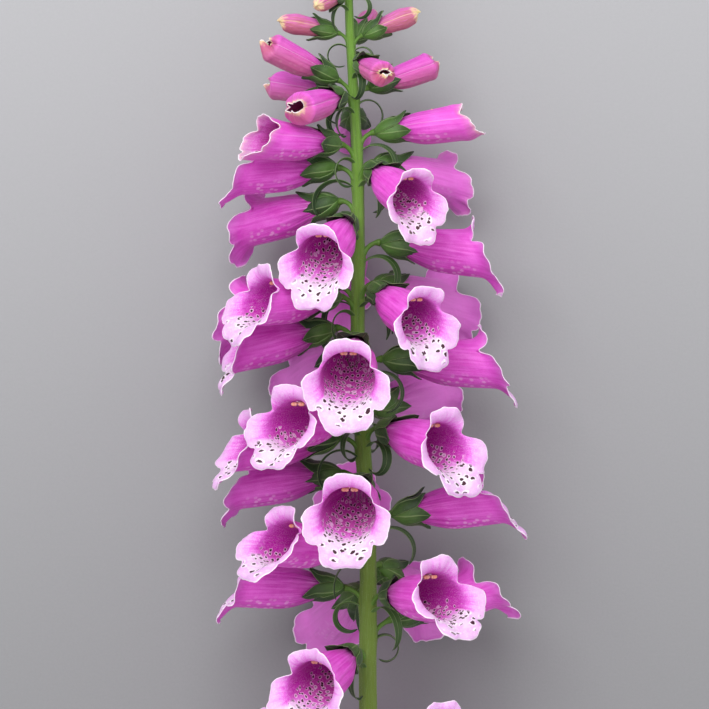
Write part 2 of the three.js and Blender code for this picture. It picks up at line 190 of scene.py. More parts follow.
BUD_FOLD_DEPTH = 0.22  # this and the next three are shares of the radius or length of a bud
BUD_GROOVE_DEPTH = 0.13
BUD_HOOK = 0.05
BUD_TIP_UNEVEN = 0.035
RIDGES, FINE_RIDGES = 5, 13
RIDGE_DRIFT = 0.008  # radians round the stem for each millimetre of height
STALK_SWELLING = 0.75
STALK_RADIUS = 1
STALK_THICKER = (0.5, 0.7)  # at its foot and under the calyx
HAIR_STRAY = 0.35  # by chance on each axis, for each 1 outward
HAIR_BEND = 0.3  # about this share of a hair's length
HAIR_STEPS = (0.7548777, 0.5698403)  # from hair to hair, in lengths of the stem and in turns
SEPAL_LENGTH, SEPAL_LENGTH_VARIES = 16.2, 1.6
SEPAL_WIDTH, SEPAL_WIDTH_VARIES = 6, 0.6
SEPAL_SPREAD, SEPAL_SPREAD_VARIES = 1.3, 1.2
SEPAL_SPREAD_ABOVE = 0.8  # more on the upper side, less on the lower
SEPAL_LEAN = 0.14  # radians round the flower
SEPAL_ROLL = 0.9
SEPAL_KEEL = 0.5
SEPAL_LAP = 0.42
SEPAL_OVER_PETALS = 0.75
# The least radius of the sepals' cup: share of their length, radius.
SEPAL_CUP = np.array([(0, 1.3), (0.05, 2.1), (0.1, 2.9), (0.2, 4.2), (0.32, 5.1), (0.5, 5.8)])
BRACT_LENGTH_VARIES = 0.14
BRACT_TURN_SHARE, BRACT_TURN_VARIES = 0.82, 0.28  # of the solid bracts' turn
BRACT_TWIST, BRACT_TWIST_VARIES = 0.9, 0.7  # radians from foot to tip
BRACT_SLANT = 0.6  # sideways at most, for each of its steps
CUP_ALONG = (0.0, 0.5, 1.2, 2.2, 3.2, 3.7)
CUP_RADIUS = (0.9, 1.5, 2.1, 2.8, 3.4, 3.0)
GREEN_BUD_RADIUS = 7.6
STAMEN_FOOT = 5
STAMEN_BEND = 17
STAMEN_TIPS = [(33.6, -1.8, 6.6), (33.6, 1.8, 6.6), (30.8, -1.4, 7.0), (30.8, 1.4, 7.0)]
STYLE_TIP = (34.4, 0.0, 7.7)
OPEN_ENOUGH_FOR_STAMENS = 0.4  # on the scale of openness_at

# ---- Table, light and camera, in metres ----
TABLE_REACH = 15
TABLE_BELOW = 0.0002
TABLE_PAINTED_SHADE = 0.62  # how light the painted shade leaves the table at the low end, against the tip's
KEY_SIZE = (1.2, 0.9)
KEY_PLACE = (-0.25, 0.75, 1.25)
KEY_AIM = (0, 0.02, 0.05)
CAMERA_SIDE, CAMERA_ALONG = -0.00675, 0.0134
CAMERA_SEES_TO = 60


# ==== Sizes and colours ====
def length(name, description, default, highest):
    """A length in metres that the sidebar shows in the scene's own unit."""
    return FloatProperty(
        name=name,
        description=description,
        default=default * MM,
        min=0.0,
        max=highest * MM,
        precision=5,
        unit="LENGTH",
    )


def tint(name, description, red, green, blue):
    """A colour given as the eye sees it, from 0 to 255."""
    return FloatVectorProperty(
        name=name,
        description=description,
        default=(red / 255, green / 255, blue / 255),
        min=0.0,
        max=1.0,
        size=3,
        subtype="COLOR_GAMMA",
    )


class FoxglovePetals(bpy.types.PropertyGroup):
    """Sizes and colours of the open flowers and the coloured buds."""

    wall: length("Petal thickness", "Thickness of a petal", 0.5, 0.8)
    rim_wave: length("Edge wave", "Height of the waves along the lobes' edge", 0.8, 2)
    edge_curl: FloatProperty(
        name="Edge curl",
        description="How much further the last part of each lobe turns back",
        default=np.radians(14),
        subtype="ANGLE",
    )
    tip_curl: FloatProperty(
        name="Lip tip curl",
        description="How much further the tip of the lower lip turns down",
        default=np.radians(34),
        subtype="ANGLE",
    )
    floor_spots: length("Throat spot spacing", "Between the spots on the throat's floor", 2.4, 8)
    lip_spots: length("Lip spot spacing", "Between the spots on the lower lip", 2.6, 9)
    outside: tint("Outside", "The bell's outside", 204, 48, 182)
    # Paler streaks outside: partly real veins, partly painted highlight.
    outside_streaks_and_painted_highlight: tint("Outside, paler streaks", "Lengthwise streaks outside", 228, 104, 214)
    outside_base: tint("Outside, narrow end", "Where it leaves the calyx", 150, 32, 128)
    # Painted light: a paler outside for the flowers far round the stem, which lie in its shade.
    outside_painted_light: tint("Outside, low flowers", "The outside of those on the table", 238, 136, 228)
    fold: tint("Young folds", "The folded lobes of an opening mouth", 172, 62, 96)
    throat: tint("Throat", "The sides of the throat, inside", 188, 8, 168)
    floor: tint("Throat floor", "The ground between the spots on the floor", 196, 40, 170)
    flush: tint("Throat edge", "Where the throat passes into the lobes", 218, 92, 208)
    lobes: tint("Lobes", "The lobes' inner face", 228, 172, 230)
    lip: tint("Lower lip", "The lower lip's inner face", 232, 202, 233)
    lip_tip: tint("Lip tip", "The mottled outer half of the lower lip", 220, 164, 224)
    spot: tint("Spots", "The spots", 54, 0, 28)
    ring: tint("Rings", "The pale ring round each spot", 250, 224, 244)
    # The pale edge along each lobe is partly its real pale margin and partly painted highlight;
    # this colour also draws pale veins, flecks, halos and creases.
    rim: tint("Rim", "The thin edge of each lobe", 248, 232, 248)
    young: tint("Young petals", "Petals of buds and of the youngest flowers", 180, 98, 120)
    cream: tint("Folded tips", "The folded tips of young petals", 236, 216, 158)


class FoxgloveGreenery(bpy.types.PropertyGroup):
    """Sizes and colours of the stem, stalks, calyces and bracts."""

    sepal: length("Sepal thickness", "Thickness of a sepal", 0.5, 1)
    bract: length("Bract thickness", "Thickness of a bract", 0.6, 1)
    ridge: length("Stem ridges", "Height of the stem's blunt ridges", 0.16, 0.5)
    down: length("Down", "Length of the hairs on the stem and the calyces", 0.55, 1.5)
    stem_low: tint("Stem, low", "The stem's lower end", 100, 126, 32)
    stem_high: tint("Stem, high", "The stem near the tip", 98, 142, 34)
    leaf: tint("Sepals", "Sepals and bracts", 30, 60, 20)
    # Paler ground on sepals and bracts: partly real, near the base and along veins, and partly
    # painted highlight.
    leaf_pale_and_painted_highlight: tint("Sepals, paler", "The paler ground near their midrib and base", 82, 122, 46)
    leaf_edge: tint("Sepal edges", "Their thin downy edge and midrib", 150, 176, 112)
    hair: tint("Down", "The hairs", 226, 232, 208)


class FoxgloveStamens(bpy.types.PropertyGroup):
    """Sizes and colours of the stamens and the style in each flower."""

    thread: length("Filament thickness", "Thickness of a filament", 0.7, 1.5)
    anther: length("Anther length", "Length of one lobe of an anther", 2.4, 5)
    thread_colour: tint("Filaments", "Filaments and style", 236, 206, 226)
    anther_colour: tint("Anthers", "The anthers", 240, 150, 62)


class FoxgloveStage(bpy.types.PropertyGroup):
    """The table, the light and the camera."""

    table: tint("Table", "The plain table beyond the tip", 167, 167, 170)
    sky: FloatProperty(
        name="Soft light",
        description="Light from all round",
        default=0.88,
        min=0.0,
    )
    key: FloatProperty(
        name="Main light",
        description="Power of the large light over the tip",
        default=17.0,
        min=0.0,
        unit="POWER",
    )
    height: length("Camera height", "Camera over the table", 1350, 5000)
    lens: FloatProperty(
        name="Focal length",
        description="Focal length for a sensor 36 mm wide",
        default=157.15,
        unit="CAMERA",
    )


# ==== Forms shared by all pieces ====
def between(low, high, share):
    """The value a share of the way from low to high."""
    return low + (high - low) * share


def ease(low, high, value):
    """0 below low, 1 above high, and between them the S-curve 3 t^2 - 2 t^3."""
    share = np.clip((value - low) / (high - low), 0, 1)
    return share * share * (3 - 2 * share)


def vary(number, trait):
    """A fixed chance value from -1 to 1: the last decimals of a large sine."""
    wave = np.sin(number * 12.9898 + trait * 78.233) * 43758.5453
    return 2 * (wave - np.floor(wave)) - 1


def usual_size(height):
    """The size usual at a height: one over one plus a power of the rise above the grown ones."""
    rise = np.maximum(height - GROWN_BELOW, 0) / HALF_GROWN_RISE
    return 1 / (1 + rise**GROWTH_POWER)


def openness_at(height):
    """0 for a closed bud and 1 for a wide mouth: a power of the share between two sizes."""
    share = (usual_size(height) - SHUT_SIZE) / (OPEN_SIZE - SHUT_SIZE)
    return np.clip(share, 0, 1) ** OPENING_POWER


def size_of(height, number):
    """A flower's own size: the one usual at its height, a little more or less by chance."""
    return usual_size(height) * (1 + SIZE_VARIES * vary(number, SIZE_TRAIT))


def stem_point(height):
    """The stem's axis: a straight lean plus a small sine sideways, sinking with height squared."""
    height = np.asarray(height, float)
    share = height / STEM_LENGTH
    sway = STEM_SWAY * np.sin(TURN * height / STEM_SWAY_LENGTH)
    side = STEM_SIDE_AT_MIDDLE + STEM_LEAN * (height - STEM_MIDDLE) + sway
    return np.stack([side, height - STEM_MIDDLE, STEM_Z_LOW_END - STEM_Z_DROP * share**2], -1)


def stem_radius(height):
    """The stem's radius, falling with a power of the height."""
    share = (np.asarray(height, float) / STEM_LENGTH) ** STEM_TAPER
    return between(STEM_RADIUS_CUT, STEM_RADIUS_TIP, share)


def outward(angle):
    """The direction square to the stem at an angle round it: (sine, 0, cosine)."""
    angle = np.radians(angle)
    return np.stack([np.sin(angle), np.zeros_like(angle), np.cos(angle)], -1)


class Placed:
    """Flowers' places on the stem, each with the three axes of its own. size is that of the
    petals, and the calyx, which is ahead in its growth, has the square root of it."""

    def __init__(self, flowers, numbers):
        self.height, self.angle, self.droop = np.asarray(flowers, float).T
        self.numbers = np.asarray(numbers)
        self.size = size_of(self.height, self.numbers)
        self.calyx = np.sqrt(self.size)
        self.open = openness_at(self.height)
        self.start = BELL_START * self.calyx
        self.away = outward(self.angle)
        reach = stem_radius(self.height) + STALK_REACH * self.size
        self.base = stem_point(self.height) + self.away * reach[:, None]
        droop = np.radians(self.droop)[:, None]
        along_stem = np.array([0.0, 1.0, 0.0])
        x = self.away * np.cos(droop) - along_stem * np.sin(droop)
        z = self.away * np.sin(droop) + along_stem * np.cos(droop)
        self.axes = np.stack([x, np.cross(z, x), z], 1)

    def carry(self, points):
        """Points on the flowers' own axes, carried into the part's frame: base + x, y, z parts."""
        spread = (slice(None),) + (None,) * (points.ndim - 2)
        return np.einsum("k...i,kij->k...j", points, self.axes) + self.base[spread]


def tip_flowers():
    """The tip's buds: a spiral whose steps in height shrink as a power of what is left."""
    number = np.arange(TIP_BUDS)
    share = (number + 1) / TIP_BUDS
    rise = 1 - (1 - share) ** TIP_CROWDING
    height = between(TIP_FROM, STEM_LENGTH - TIP_SHORT_OF_END, rise)
    angle = TIP_ROUND_FIRST + TIP_ROUND_STEP * number
    return np.stack([height, angle, between(*TIP_DROOP, share * share)], -1)


ALL_FLOWERS = np.concatenate([FLOWERS, tip_flowers()])
NUMBERS = np.arange(1, len(ALL_FLOWERS) + 1)
IS_GREEN = NUMBERS > len(FLOWERS) + TIP_COLOURED
IS_BELL = openness_at(ALL_FLOWERS[:, 0]) > 0
IS_BUD = ~IS_BELL & ~IS_GREEN


def placed_where(chosen):
    """The places of the flowers that a mask over all of them chooses."""
    return Placed(ALL_FLOWERS[chosen], NUMBERS[chosen])


class Skin:
    """Points, faces and fields of one piece. It grows by tubes: rings of points, closed to a point
    at each end, and as many copies at once as the arrays hold."""

    def __init__(self):
        self.points, self.quads, self.tris, self.fields = [], [], [], {}
        self.count = 0

    def tubes(self, rings, start=None, end=None, **fields):
        """Adds tubes. rings is copies x rings x sides x 3. start and end are copies x 3, and if
        not given they are the middles of the end rings. Each field has three numbers a point, in
        an array that spreads to the shape of rings."""
        start = rings[:, 0].mean(1) if start is None else start
        end = rings[:, -1].mean(1) if end is None else end
        copies, rows, sides = rings.shape[:3]
        each = rows * sides + 2
        flat = (copies, rows * sides, 3)
        points = [start[:, None], rings.reshape(flat), end[:, None]]
        self.points.append(np.concatenate(points, 1).reshape(-1, 3))
        for name, values in fields.items():
            values = np.broadcast_to(values, rings.shape)
            first, last = values[:, 0].mean(1)[:, None], values[:, -1].mean(1)[:, None]
            parts = [first, values.reshape(flat), last]
            self.fields.setdefault(name, []).append(np.concatenate(parts, 1).reshape(-1, 3))
        row, side = np.meshgrid(np.arange(rows - 1), np.arange(sides), indexing="ij")
        here, beside = 1 + row * sides + side, 1 + row * sides + (side + 1) % sides
        quads = np.stack([here, beside, beside + sides, here + sides], -1).reshape(-1, 4)
        side = np.arange(sides)
        here, beside = 1 + side, 1 + (side + 1) % sides
        back = (rows - 1) * sides
        first = np.stack([np.zeros_like(side), beside, here], -1)
        last = np.stack([np.full_like(side, each - 1), here + back, beside + back], -1)
        offset = self.count + each * np.arange(copies)[:, None, None]
        self.quads.append((quads + offset).reshape(-1, 4))
        self.tris.append((np.concatenate([first, last]) + offset).reshape(-1, 3))
        self.count += copies * each

    def mesh(self, name):
        """The mesh in metres, with smooth faces and each field as an attribute of its points."""
        quads, tris = np.concatenate(self.quads), np.concatenate(self.tris)
        corners = np.concatenate([quads.ravel(), tris.ravel()]).astype(np.int32)
        starts = [np.arange(len(quads)) * 4, quads.size + np.arange(len(tris)) * 3]
        mesh = bpy.data.meshes.new(name)
        mesh.vertices.add(self.count)
        mesh.vertices.foreach_set("co", (np.concatenate(self.points) * MM).astype("f").ravel())
        mesh.loops.add(len(corners))
        mesh.loops.foreach_set("vertex_index", corners)
        mesh.polygons.add(len(quads) + len(tris))
        mesh.polygons.foreach_set("loop_start", np.concatenate(starts).astype(np.int32))
        mesh.polygons.foreach_set("use_smooth", np.ones(len(quads) + len(tris), bool))
        for field, values in self.fields.items():
            data = mesh.attributes.new(field, "FLOAT_VECTOR", "POINT").data
            data.foreach_set("vector", np.concatenate(values).astype("f").ravel())
        mesh.update(calc_edges=True)
        return mesh


def add_piece(name, skin, finish, slot, *replaced):
    """Puts a piece into the scene with its finish, and has it ride on the part."""
    piece = bpy.data.objects.new(name, skin.mesh(name))
    bpy.context.scene.collection.objects.link(piece)
    piece.data.materials.append(finish)
    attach(piece, "root")
    if replaced:
        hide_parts(*replaced)
    return piece


def vector(x, y, z):
    """Three arrays of any shapes that fit together, stacked as the x, y and z of points."""
    return np.stack(np.broadcast_arrays(x, y, z), -1).astype(float)


def circle(sides):
    """Evenly spaced angles once round."""
    return TURN * np.arange(sides) / sides


def around(x, radius, angles):
    """Points on a flower's own axes: x along it, at a radius from it, at angles round it."""
    return vector(x, -radius * np.sin(angles), radius * np.cos(angles))


def bow(root, bend, tip, share):
    """A curve of the second degree from root to tip, which both its ends leave towards bend."""
    return (1 - share) ** 2 * root + 2 * share * (1 - share) * bend + share**2 * tip


def unit(vectors):
    """The same directions with length 1."""
    return vectors / np.maximum(np.linalg.norm(vectors, axis=-1, keepdims=True), 1e-9)


def soften(values, rows):
    """Values along the last axis, each one averaged with its neighbours under a bell curve."""
    reach = int(np.ceil(3 * rows))
    weights = np.exp(-0.5 * (np.arange(-reach, reach + 1) / rows) ** 2)
    padded = np.pad(values, reach, mode="edge")
    return np.convolve(padded, weights / weights.sum(), mode="valid")


def leaf_rings(surface, steps, sides, thickness):
    """Rings round a thin leaf. surface(a, b) is the leaf's middle for a from 0 at its foot to 1 at
    its tip and b from -1 to 1 across it. Round each ring b is a sine and the distance from the
    middle, along the surface's normal, is the cosine times half the thickness."""
    round_ring = circle(sides)
    a = np.linspace(0.0, 1.0, steps)[:, None]
    b = np.sin(round_ring)
    nudge = 1e-3
    across = surface(a, b + nudge) - surface(a, b - nudge)
    along = surface(np.minimum(a + nudge, 1), b) - surface(np.maximum(a - nudge, 0), b)
    normal = unit(np.cross(across, along))
    return surface(a, b) + normal * (np.cos(round_ring) * thickness / 2)[:, None]


def add_leaves(skin, rings, trait, tone, fresh):
    """Adds leaves, with what leaf_finish reads: the place on each leaf, a shift and a tone that
    vary from leaf to leaf, and how fresh a green it is."""
    steps, sides = rings.shape[1:3]
    place = vector(np.sin(circle(sides)), np.linspace(0, 1, steps)[:, None], 1)
    leaf = np.arange(len(rings))
    trait = vector(vary(leaf, trait) * 9, vary(leaf, trait + 1) * 0.5 + tone, fresh)
    skin.tubes(rings, place=place, trait=trait[:, None, None])


def hairs(skin, roots, away, long):
    """Fine hairs: each one bends over as it rises, along a curve of the second degree, and narrows
    to a point. long is one length a hair."""
    count = len(roots)
    share = np.array([0.0, 0.35, 0.7])[:, None]
    angles = circle(3)
    chance = vary(np.arange(count)[:, None], np.array([101, 102, 103]))
    lean = unit(away + HAIR_STRAY * chance)
    bend = np.cross(lean, np.roll(chance, 1, 1)) * HAIR_BEND

    def path(at):
        way = lean[:, None] * at + bend[:, None] * at**2
        return roots[:, None] + long[:, None, None] * way

    first = unit(np.cross(lean, [0.3, 0.5, 0.8]))
    second = np.cross(lean, first)
    spokes = first[:, None] * np.cos(angles)[:, None] + second[:, None] * np.sin(angles)[:, None]
    radius = (HAIR_THICKNESS / 2 * (1.1 - share))[..., None]
    rings = path(share)[:, :, None] + spokes[:, None] * radius
    place = vector(share[None], chance[:, None, :1], 0)
    skin.tubes(rings, path(0.0)[:, 0], path(1.0)[:, 0], place=place.reshape(count, 3, 1, 3))


# ==== Finishes ====
def as_light(colour):
    """A colour as the eye sees it, turned into amounts of light: the usual power curve of sRGB."""
    seen = np.array(colour[:3], float)
    light = np.where(seen <= 0.04045, seen / 12.92, ((seen + 0.055) / 1.055) ** 2.4)
    return (*light, 1.0)


class Reading:
    """A socket of a finish. Arithmetic on it adds Math nodes to that finish."""

    def __init__(self, finish, socket):
        self.finish = finish
        self.socket = socket

    def math(self, operation, *values):
        return self.finish.node("Math", {"operation": operation}, dict(enumerate(values)))

    def __add__(self, other):
        return self.math("ADD", self, other)

    def __sub__(self, other):
        return self.math("SUBTRACT", self, other)

    def __rsub__(self, other):
        return self.math("SUBTRACT", other, self)

    def __mul__(self, other):
        return self.math("MULTIPLY", self, other)

    __radd__ = __add__
    __rmul__ = __mul__

    def __abs__(self):
        return self.math("ABSOLUTE", self)

    def above(self, low, high):
        """0 where the value is below low, 1 where it is above high, smooth between them."""
        values = {"Value": self, "From Min": low, "From Max": high}
        return self.finish.node("MapRange", {"interpolation_type": "SMOOTHSTEP"}, values)

    def below(self, low, high):
        """1 where the value is below low, 0 where it is above high."""
        return 1 - self.above(low, high)

    def part(self, name):
        """Another output of the same node."""
        return Reading(self.finish, self.socket.node.outputs[name])


class Finish:
    """A material being built. Every node in it comes from node()."""

    def __init__(self, name):
        self.material = bpy.data.materials.new(name)
        self.material.use_nodes = True
        self.tree = self.material.node_tree
        self.tree.nodes.clear()

    def node(self, kind, settings=None, values=None, output=0):
        """Adds a node of a type, makes its settings, then sets or links its sockets."""
        made = self.tree.nodes.new("ShaderNode" + kind)
        for key, setting in (settings or {}).items():
            setattr(made, key, setting)
        for key, value in (values or {}).items():
            if isinstance(value, Reading):
                self.tree.links.new(value.socket, made.inputs[key])
            else:
                made.inputs[key].default_value = value
        return Reading(self, made.outputs[output]) if made.outputs else None

    def field(self, name):
        """The three numbers that the piece's points carry under a name, one by one."""
        carried = self.node("Attribute", {"attribute_name": name}, output="Vector")
        split = self.node("SeparateXYZ", values={0: carried})
        return split, split.part("Y"), split.part("Z")

    def point(self, x, y, z=0.0):
        return self.node("CombineXYZ", values={0: x, 1: y, 2: z})

    def noise(self, place, scale, detail=2.0):
        values = {"Vector": place, "Scale": scale, "Detail": detail}
        return self.node("TexNoise", values=values)

    def cells(self, place, scale, evenness):
        """Distance from the nearest of many scattered points, in cells of 1 / scale."""
        settings = {"voronoi_dimensions": "2D", "feature": "F1"}
        values = {"Vector": place, "Scale": scale, "Randomness": evenness}
        return self.node("TexVoronoi", settings, values)

    def chance(self, cells):
        """Two chance values from 0 to 1 that are the same all over a cell."""
        split = self.node("SeparateColor", values={0: cells.part("Color")})
        return split, split.part("Green")

    def mix(self, share, first, second):
        """The colour a share of the way from the first to the second. Either one is a socket, a
        colour as the eye sees it, or amounts of light."""
        first, second = (as_light(c) if isinstance(c, Color) else c for c in (first, second))
        return self.node("Mix", {"data_type": "RGBA"}, {0: share, 6: first, 7: second}, output=2)

    def layers(self, colour, *layers):
        """A colour with others laid over it in turn, each given as its share and its colour."""
        for share, over in layers:
            colour = self.mix(share, colour, over)
        return colour

    def surface(self, colour, roughness, height, depth, **constants):
        """Ends the finish: colour, roughness and a bump from a height, depth metres deep."""
        bump = self.node("Bump", values={"Distance": depth, "Height": height})
        values = {"Base Color": colour, "Roughness": roughness, "Normal": bump}
        for key, value in constants.items():
            values[key.replace("_", " ").title()] = value
        shader = self.node("BsdfPrincipled", values=values)
        self.node("OutputMaterial", values={"Surface": shader})
        return self.material


def petal_finish(colours):
    """Petals of the open flowers. place holds the distance sideways from the lower middle line
    and the distance past the throat, in millimetres, and 1 inside. turned holds the cosine and
    sine of the angle round the flower and the share of the lobe. trait holds youth, the share
    of painted light on flowers in the stem's shade, and a shift."""
    finish = Finish("foxglove_petal")
    sideways, past, inside = finish.field("place")
    upper, side, lobe = finish.field("turned")
    # pale is the share of painted light on the outside of flowers in the stem's shade.
    youth, pale, shift = finish.field("trait")
    under = 0 - upper
    around_it = finish.point(upper * 9, side * 9, past + shift)
    lengthwise = finish.point(upper * 9, side * 9, past * 0.06 + shift)
    streak = finish.noise(lengthwise, 1.1, 3.0)
    patch = finish.noise(around_it, 0.13)
    wobble = finish.noise(around_it, 0.6)
    glints = finish.noise(around_it, 2.6, 2.0)

    # Outside: streaks, partly real veins and partly painted highlight, a dark narrow end with pale
    # veins, pale lobes, and faint specks beneath.
    at_base = (past + streak * 14).below(-27, -6)
    base_veins = streak.above(0.55, 0.62) * past.below(-30, -22)
    speckled = finish.cells(finish.point(sideways + shift, past), 0.34, 1.0)
    speck = speckled.below(0.14, 0.34) * under.above(0.35, 0.8)
    speck = speck * past.above(-22, -16) * past.below(-4, 1)
    outside = finish.layers(
        colours.outside,
        ((streak * 0.8 + patch * 0.4 + glints * 0.25).above(0.5, 0.98), colours.outside_streaks_and_painted_highlight),
        (at_base * 0.6, colours.outside_base),
        (base_veins * 0.35, colours.rim),
        (past.above(-12, 7) * 0.35, colours.outside_streaks_and_painted_highlight),
        (lobe.above(0.3, 1.0) * 0.35, colours.lobes),
        (speck * 0.35, colours.ring),
    )

    # Inside: the throat, then its edge, then the lobes and the mottled lower lip.
    lip = (under + wobble * 0.1 - 0.05).above(0.5, 0.74)
    reach = past + lip * 8 + (wobble * 5 - 2.5) + (streak * 9 - 4.5)
    mottled = finish.noise(around_it, 0.42, 3.0).above(0.42, 0.7)
    far = (lobe + mottled * 0.6).above(0.35, 1.05) * lip
    open_face = finish.layers(colours.lobes, (lip, colours.lip), (far * 0.85, colours.lip_tip))
    inner = finish.layers(
        colours.throat,
        ((under + wobble * 0.6).above(0.5, 1.1), colours.floor),
        (reach.above(-6, 2.5), colours.flush),
        (reach.above(-0.5, 7.5), open_face),
        # pale flecks: partly painted glints, partly pale mottling of the lobes
        (glints.above(0.45, 0.75) * 0.3, colours.rim),
    )

    # Spots on the throat's floor: rings of scattered cells, most with a dark middle.
    warped = finish.point(sideways + shift + wobble * 1.6, past + wobble * 1.2)
    dots = finish.cells(warped, 1 / (colours.floor_spots / MM), 0.72)
    spread, choice = finish.chance(dots)
    cover = (under * 1.5 - 0.1).above(0.0, 1.0)
    kept = (choice + cover - 1).above(-0.02, 0.02) * past.above(-36, -30)
    on_floor = kept * (past + wobble * 3).below(-2.0, 1.5)
    ringed = (dots + spread * 0.08).below(0.36, 0.46) * on_floor
    centre = spread.above(0.0, 0.3) * under.above(-0.2, 0.35)
    dark = (dots - spread * 0.06).below(0.17, 0.23) * on_floor * centre

    # Blots on the lower lip: scattered wider apart, and fewer towards its tip.
    crinkled = wobble * 1.6 + glints * 0.5
    warped = finish.point(sideways + shift + crinkled, past * 0.8 - crinkled)
    blots = finish.cells(warped, 1 / (colours.lip_spots / MM), 0.95)
    spread, choice = finish.chance(blots)
    on_lip = (choice - past * 0.068).above(-0.08, -0.05) * past.above(-3.5, -1.5)
    on_lip = on_lip * under.above(0.5, 0.66) * lobe.below(0.8, 0.9)
    blot = (blots - spread * 0.1).below(0.15, 0.2) * on_lip
    halo = blots.below(0.36, 0.48) * on_lip

    # Youth: rosy, with a pale crease along each side and cream on the folded lobes.
    rosy = (under * 0.35 + youth).above(0.35, 1.25)
    crease = abs(upper - FOLD_COSINE).below(0.0, 0.07) * youth
    creased = youth * lobe.above(0.25, 0.6)
    folded = youth * (lobe + wobble * 0.5).above(0.95, 1.2)
    inner = finish.layers(
        inner,
        (ringed * 0.75, colours.ring),
        (halo * 0.8, colours.rim),
        (dark, colours.spot),
        (blot, colours.spot),
        (youth * 0.8, colours.young),
    )
    outside = finish.layers(
        outside,
        (rosy * 0.8, colours.young),
        (crease * 0.4, colours.rim),
        # painted light: a paler outside on flowers in the stem's shade
        (pale, colours.outside_painted_light),
    )
    colour = finish.layers(
        finish.mix(inside, outside, inner),
        (creased * 0.6, colours.fold),
        (folded * 0.9, colours.cream),
        # pale edge along each lobe: partly its real pale margin, partly painted highlight
        ((lobe + streak * 0.03).above(0.955, 1.01) * 0.8, colours.rim),
    )
    return finish.surface(
        colour,
        0.45 + streak * 0.16,
        streak + wobble * 0.5 + glints * 0.25,
        0.3 * MM,
        subsurface_weight=0.35,
        subsurface_scale=1.2 * MM,
        subsurface_radius=(1.0, 0.5, 1.0),
        sheen_weight=0.04,
    )


def bud_finish(colours):
    """Petals of a closed bud. place holds the angle's cosine and sine and the share of length."""
    finish = Finish("foxglove_bud")
    upper, side, along = finish.field("place")
    streak = finish.noise(finish.point(upper * 6, side * 6, along * 3), 1.5, 3.0)
    patch = finish.noise(finish.point(upper * 3, side * 3, along * 9), 1.2, 2.0)
    crease = abs(upper - FOLD_COSINE).below(0.0, 0.09) * along.above(0.1, 0.4)
    colour = finish.layers(
        colours.young,
        # pale streaks, partly real veins and partly painted highlight, more on the upper side
        ((streak + upper * 0.2).above(0.4, 0.8) * 0.6, colours.outside_streaks_and_painted_highlight),
        (crease * 0.4, colours.cream),
        ((along + patch * 0.25).above(0.97, 1.13), colours.cream),
        (along.below(0.0, 0.3) * 0.4, colours.cream),
    )
    return finish.surface(
        colour,
        0.5 + streak * 0.1,
        streak + patch,
        0.3 * MM,
        subsurface_weight=0.25,
        subsurface_scale=1.0 * MM,
        subsurface_radius=(1.0, 0.5, 0.7),
        sheen_weight=0.06,
    )


def stem_finish(colours):
    """The stem. place holds the cosine and sine of the angle round it and the share of height."""
    finish = Finish("foxglove_stem")
    upper, side, share = finish.field("place")
    grain = finish.noise(finish.point(upper * 8, side * 8, share * 40), 2.2, 4.0)
    blotch = finish.noise(finish.point(upper, side, share * 14), 1.6, 2.0)
    colour = finish.layers(
        colours.stem_low,
        (share.above(0.2, 0.85), colours.stem_high),
        (blotch.above(0.5, 0.8) * 0.35, colours.leaf),
        (grain.above(0.5, 0.75) * 0.35, colours.leaf_edge),
    )
    return finish.surface(colour, 0.5 + grain * 0.15, grain, 0.3 * MM, sheen_weight=0.1)


def leaf_finish(colours):
    """Sepals, bracts and stalks. place holds the distance across the leaf, from -1 to 1, the share
    of its length, and 1 on a leaf or 0 on a stalk. trait holds a shift, a tone and freshness."""
    finish = Finish("foxglove_leaf")
    across, along, blade = finish.field("place")
    shift, tone, fresh = finish.field("trait")
    from_middle = abs(across)
    veins = finish.noise(finish.point(across * 3 + shift, along * 5, shift), 1.2, 3.0)
    grain = finish.noise(finish.point(across * 6, along * 18, shift), 1.5, 3.0)
    # Paler towards the base, by tone and along the veins: partly real colour and partly painted
    # highlight.
    light = (1 - along) * 0.7 + tone * 0.5 + veins * 0.5
    midrib = from_middle.below(0.02, 0.1) * 0.45 * blade
    margin = (from_middle + veins * 0.03).above(0.93, 1.0) * 0.8 * blade
    colour = finish.layers(
        colours.leaf,
        (light.above(0.35, 1.35), colours.leaf_pale_and_painted_highlight),
        (fresh * 0.7, colours.stem_high),
        (midrib + margin, colours.leaf_edge),
    )
    height = grain * 0.6 + midrib * 1.5
    return finish.surface(colour, 0.48 + grain * 0.15, height, 0.3 * MM, sheen_weight=0.07)


def stamen_finish(colours):
    """Filaments, styles and anthers. place holds 1 on an anther, a share of length and a shift."""
    finish = Finish("foxglove_stamen")
    anther, along, shift = finish.field("place")
    grain = finish.noise(finish.point(along * 6, shift, anther), 3.0)
    pollen = finish.mix(grain.above(0.4, 0.7), colours.anther_colour, colours.thread_colour)
    colour = finish.mix(anther, colours.thread_colour, pollen)
    return finish.surface(colour, 0.55 + grain * 0.1, grain, 0.1 * MM, subsurface_weight=0.1)


def down_finish(colours):
    """Hairs. place holds a share of their length and a chance value."""
    finish = Finish("foxglove_down")
    along, chance, _ = finish.field("place")
    colour = finish.mix(along * 0.5 + chance * 0.5, colours.leaf_edge, colours.hair)
    return finish.surface(colour, 0.6 + chance * 0.1, chance, 0.02 * MM, sheen_weight=0.3)


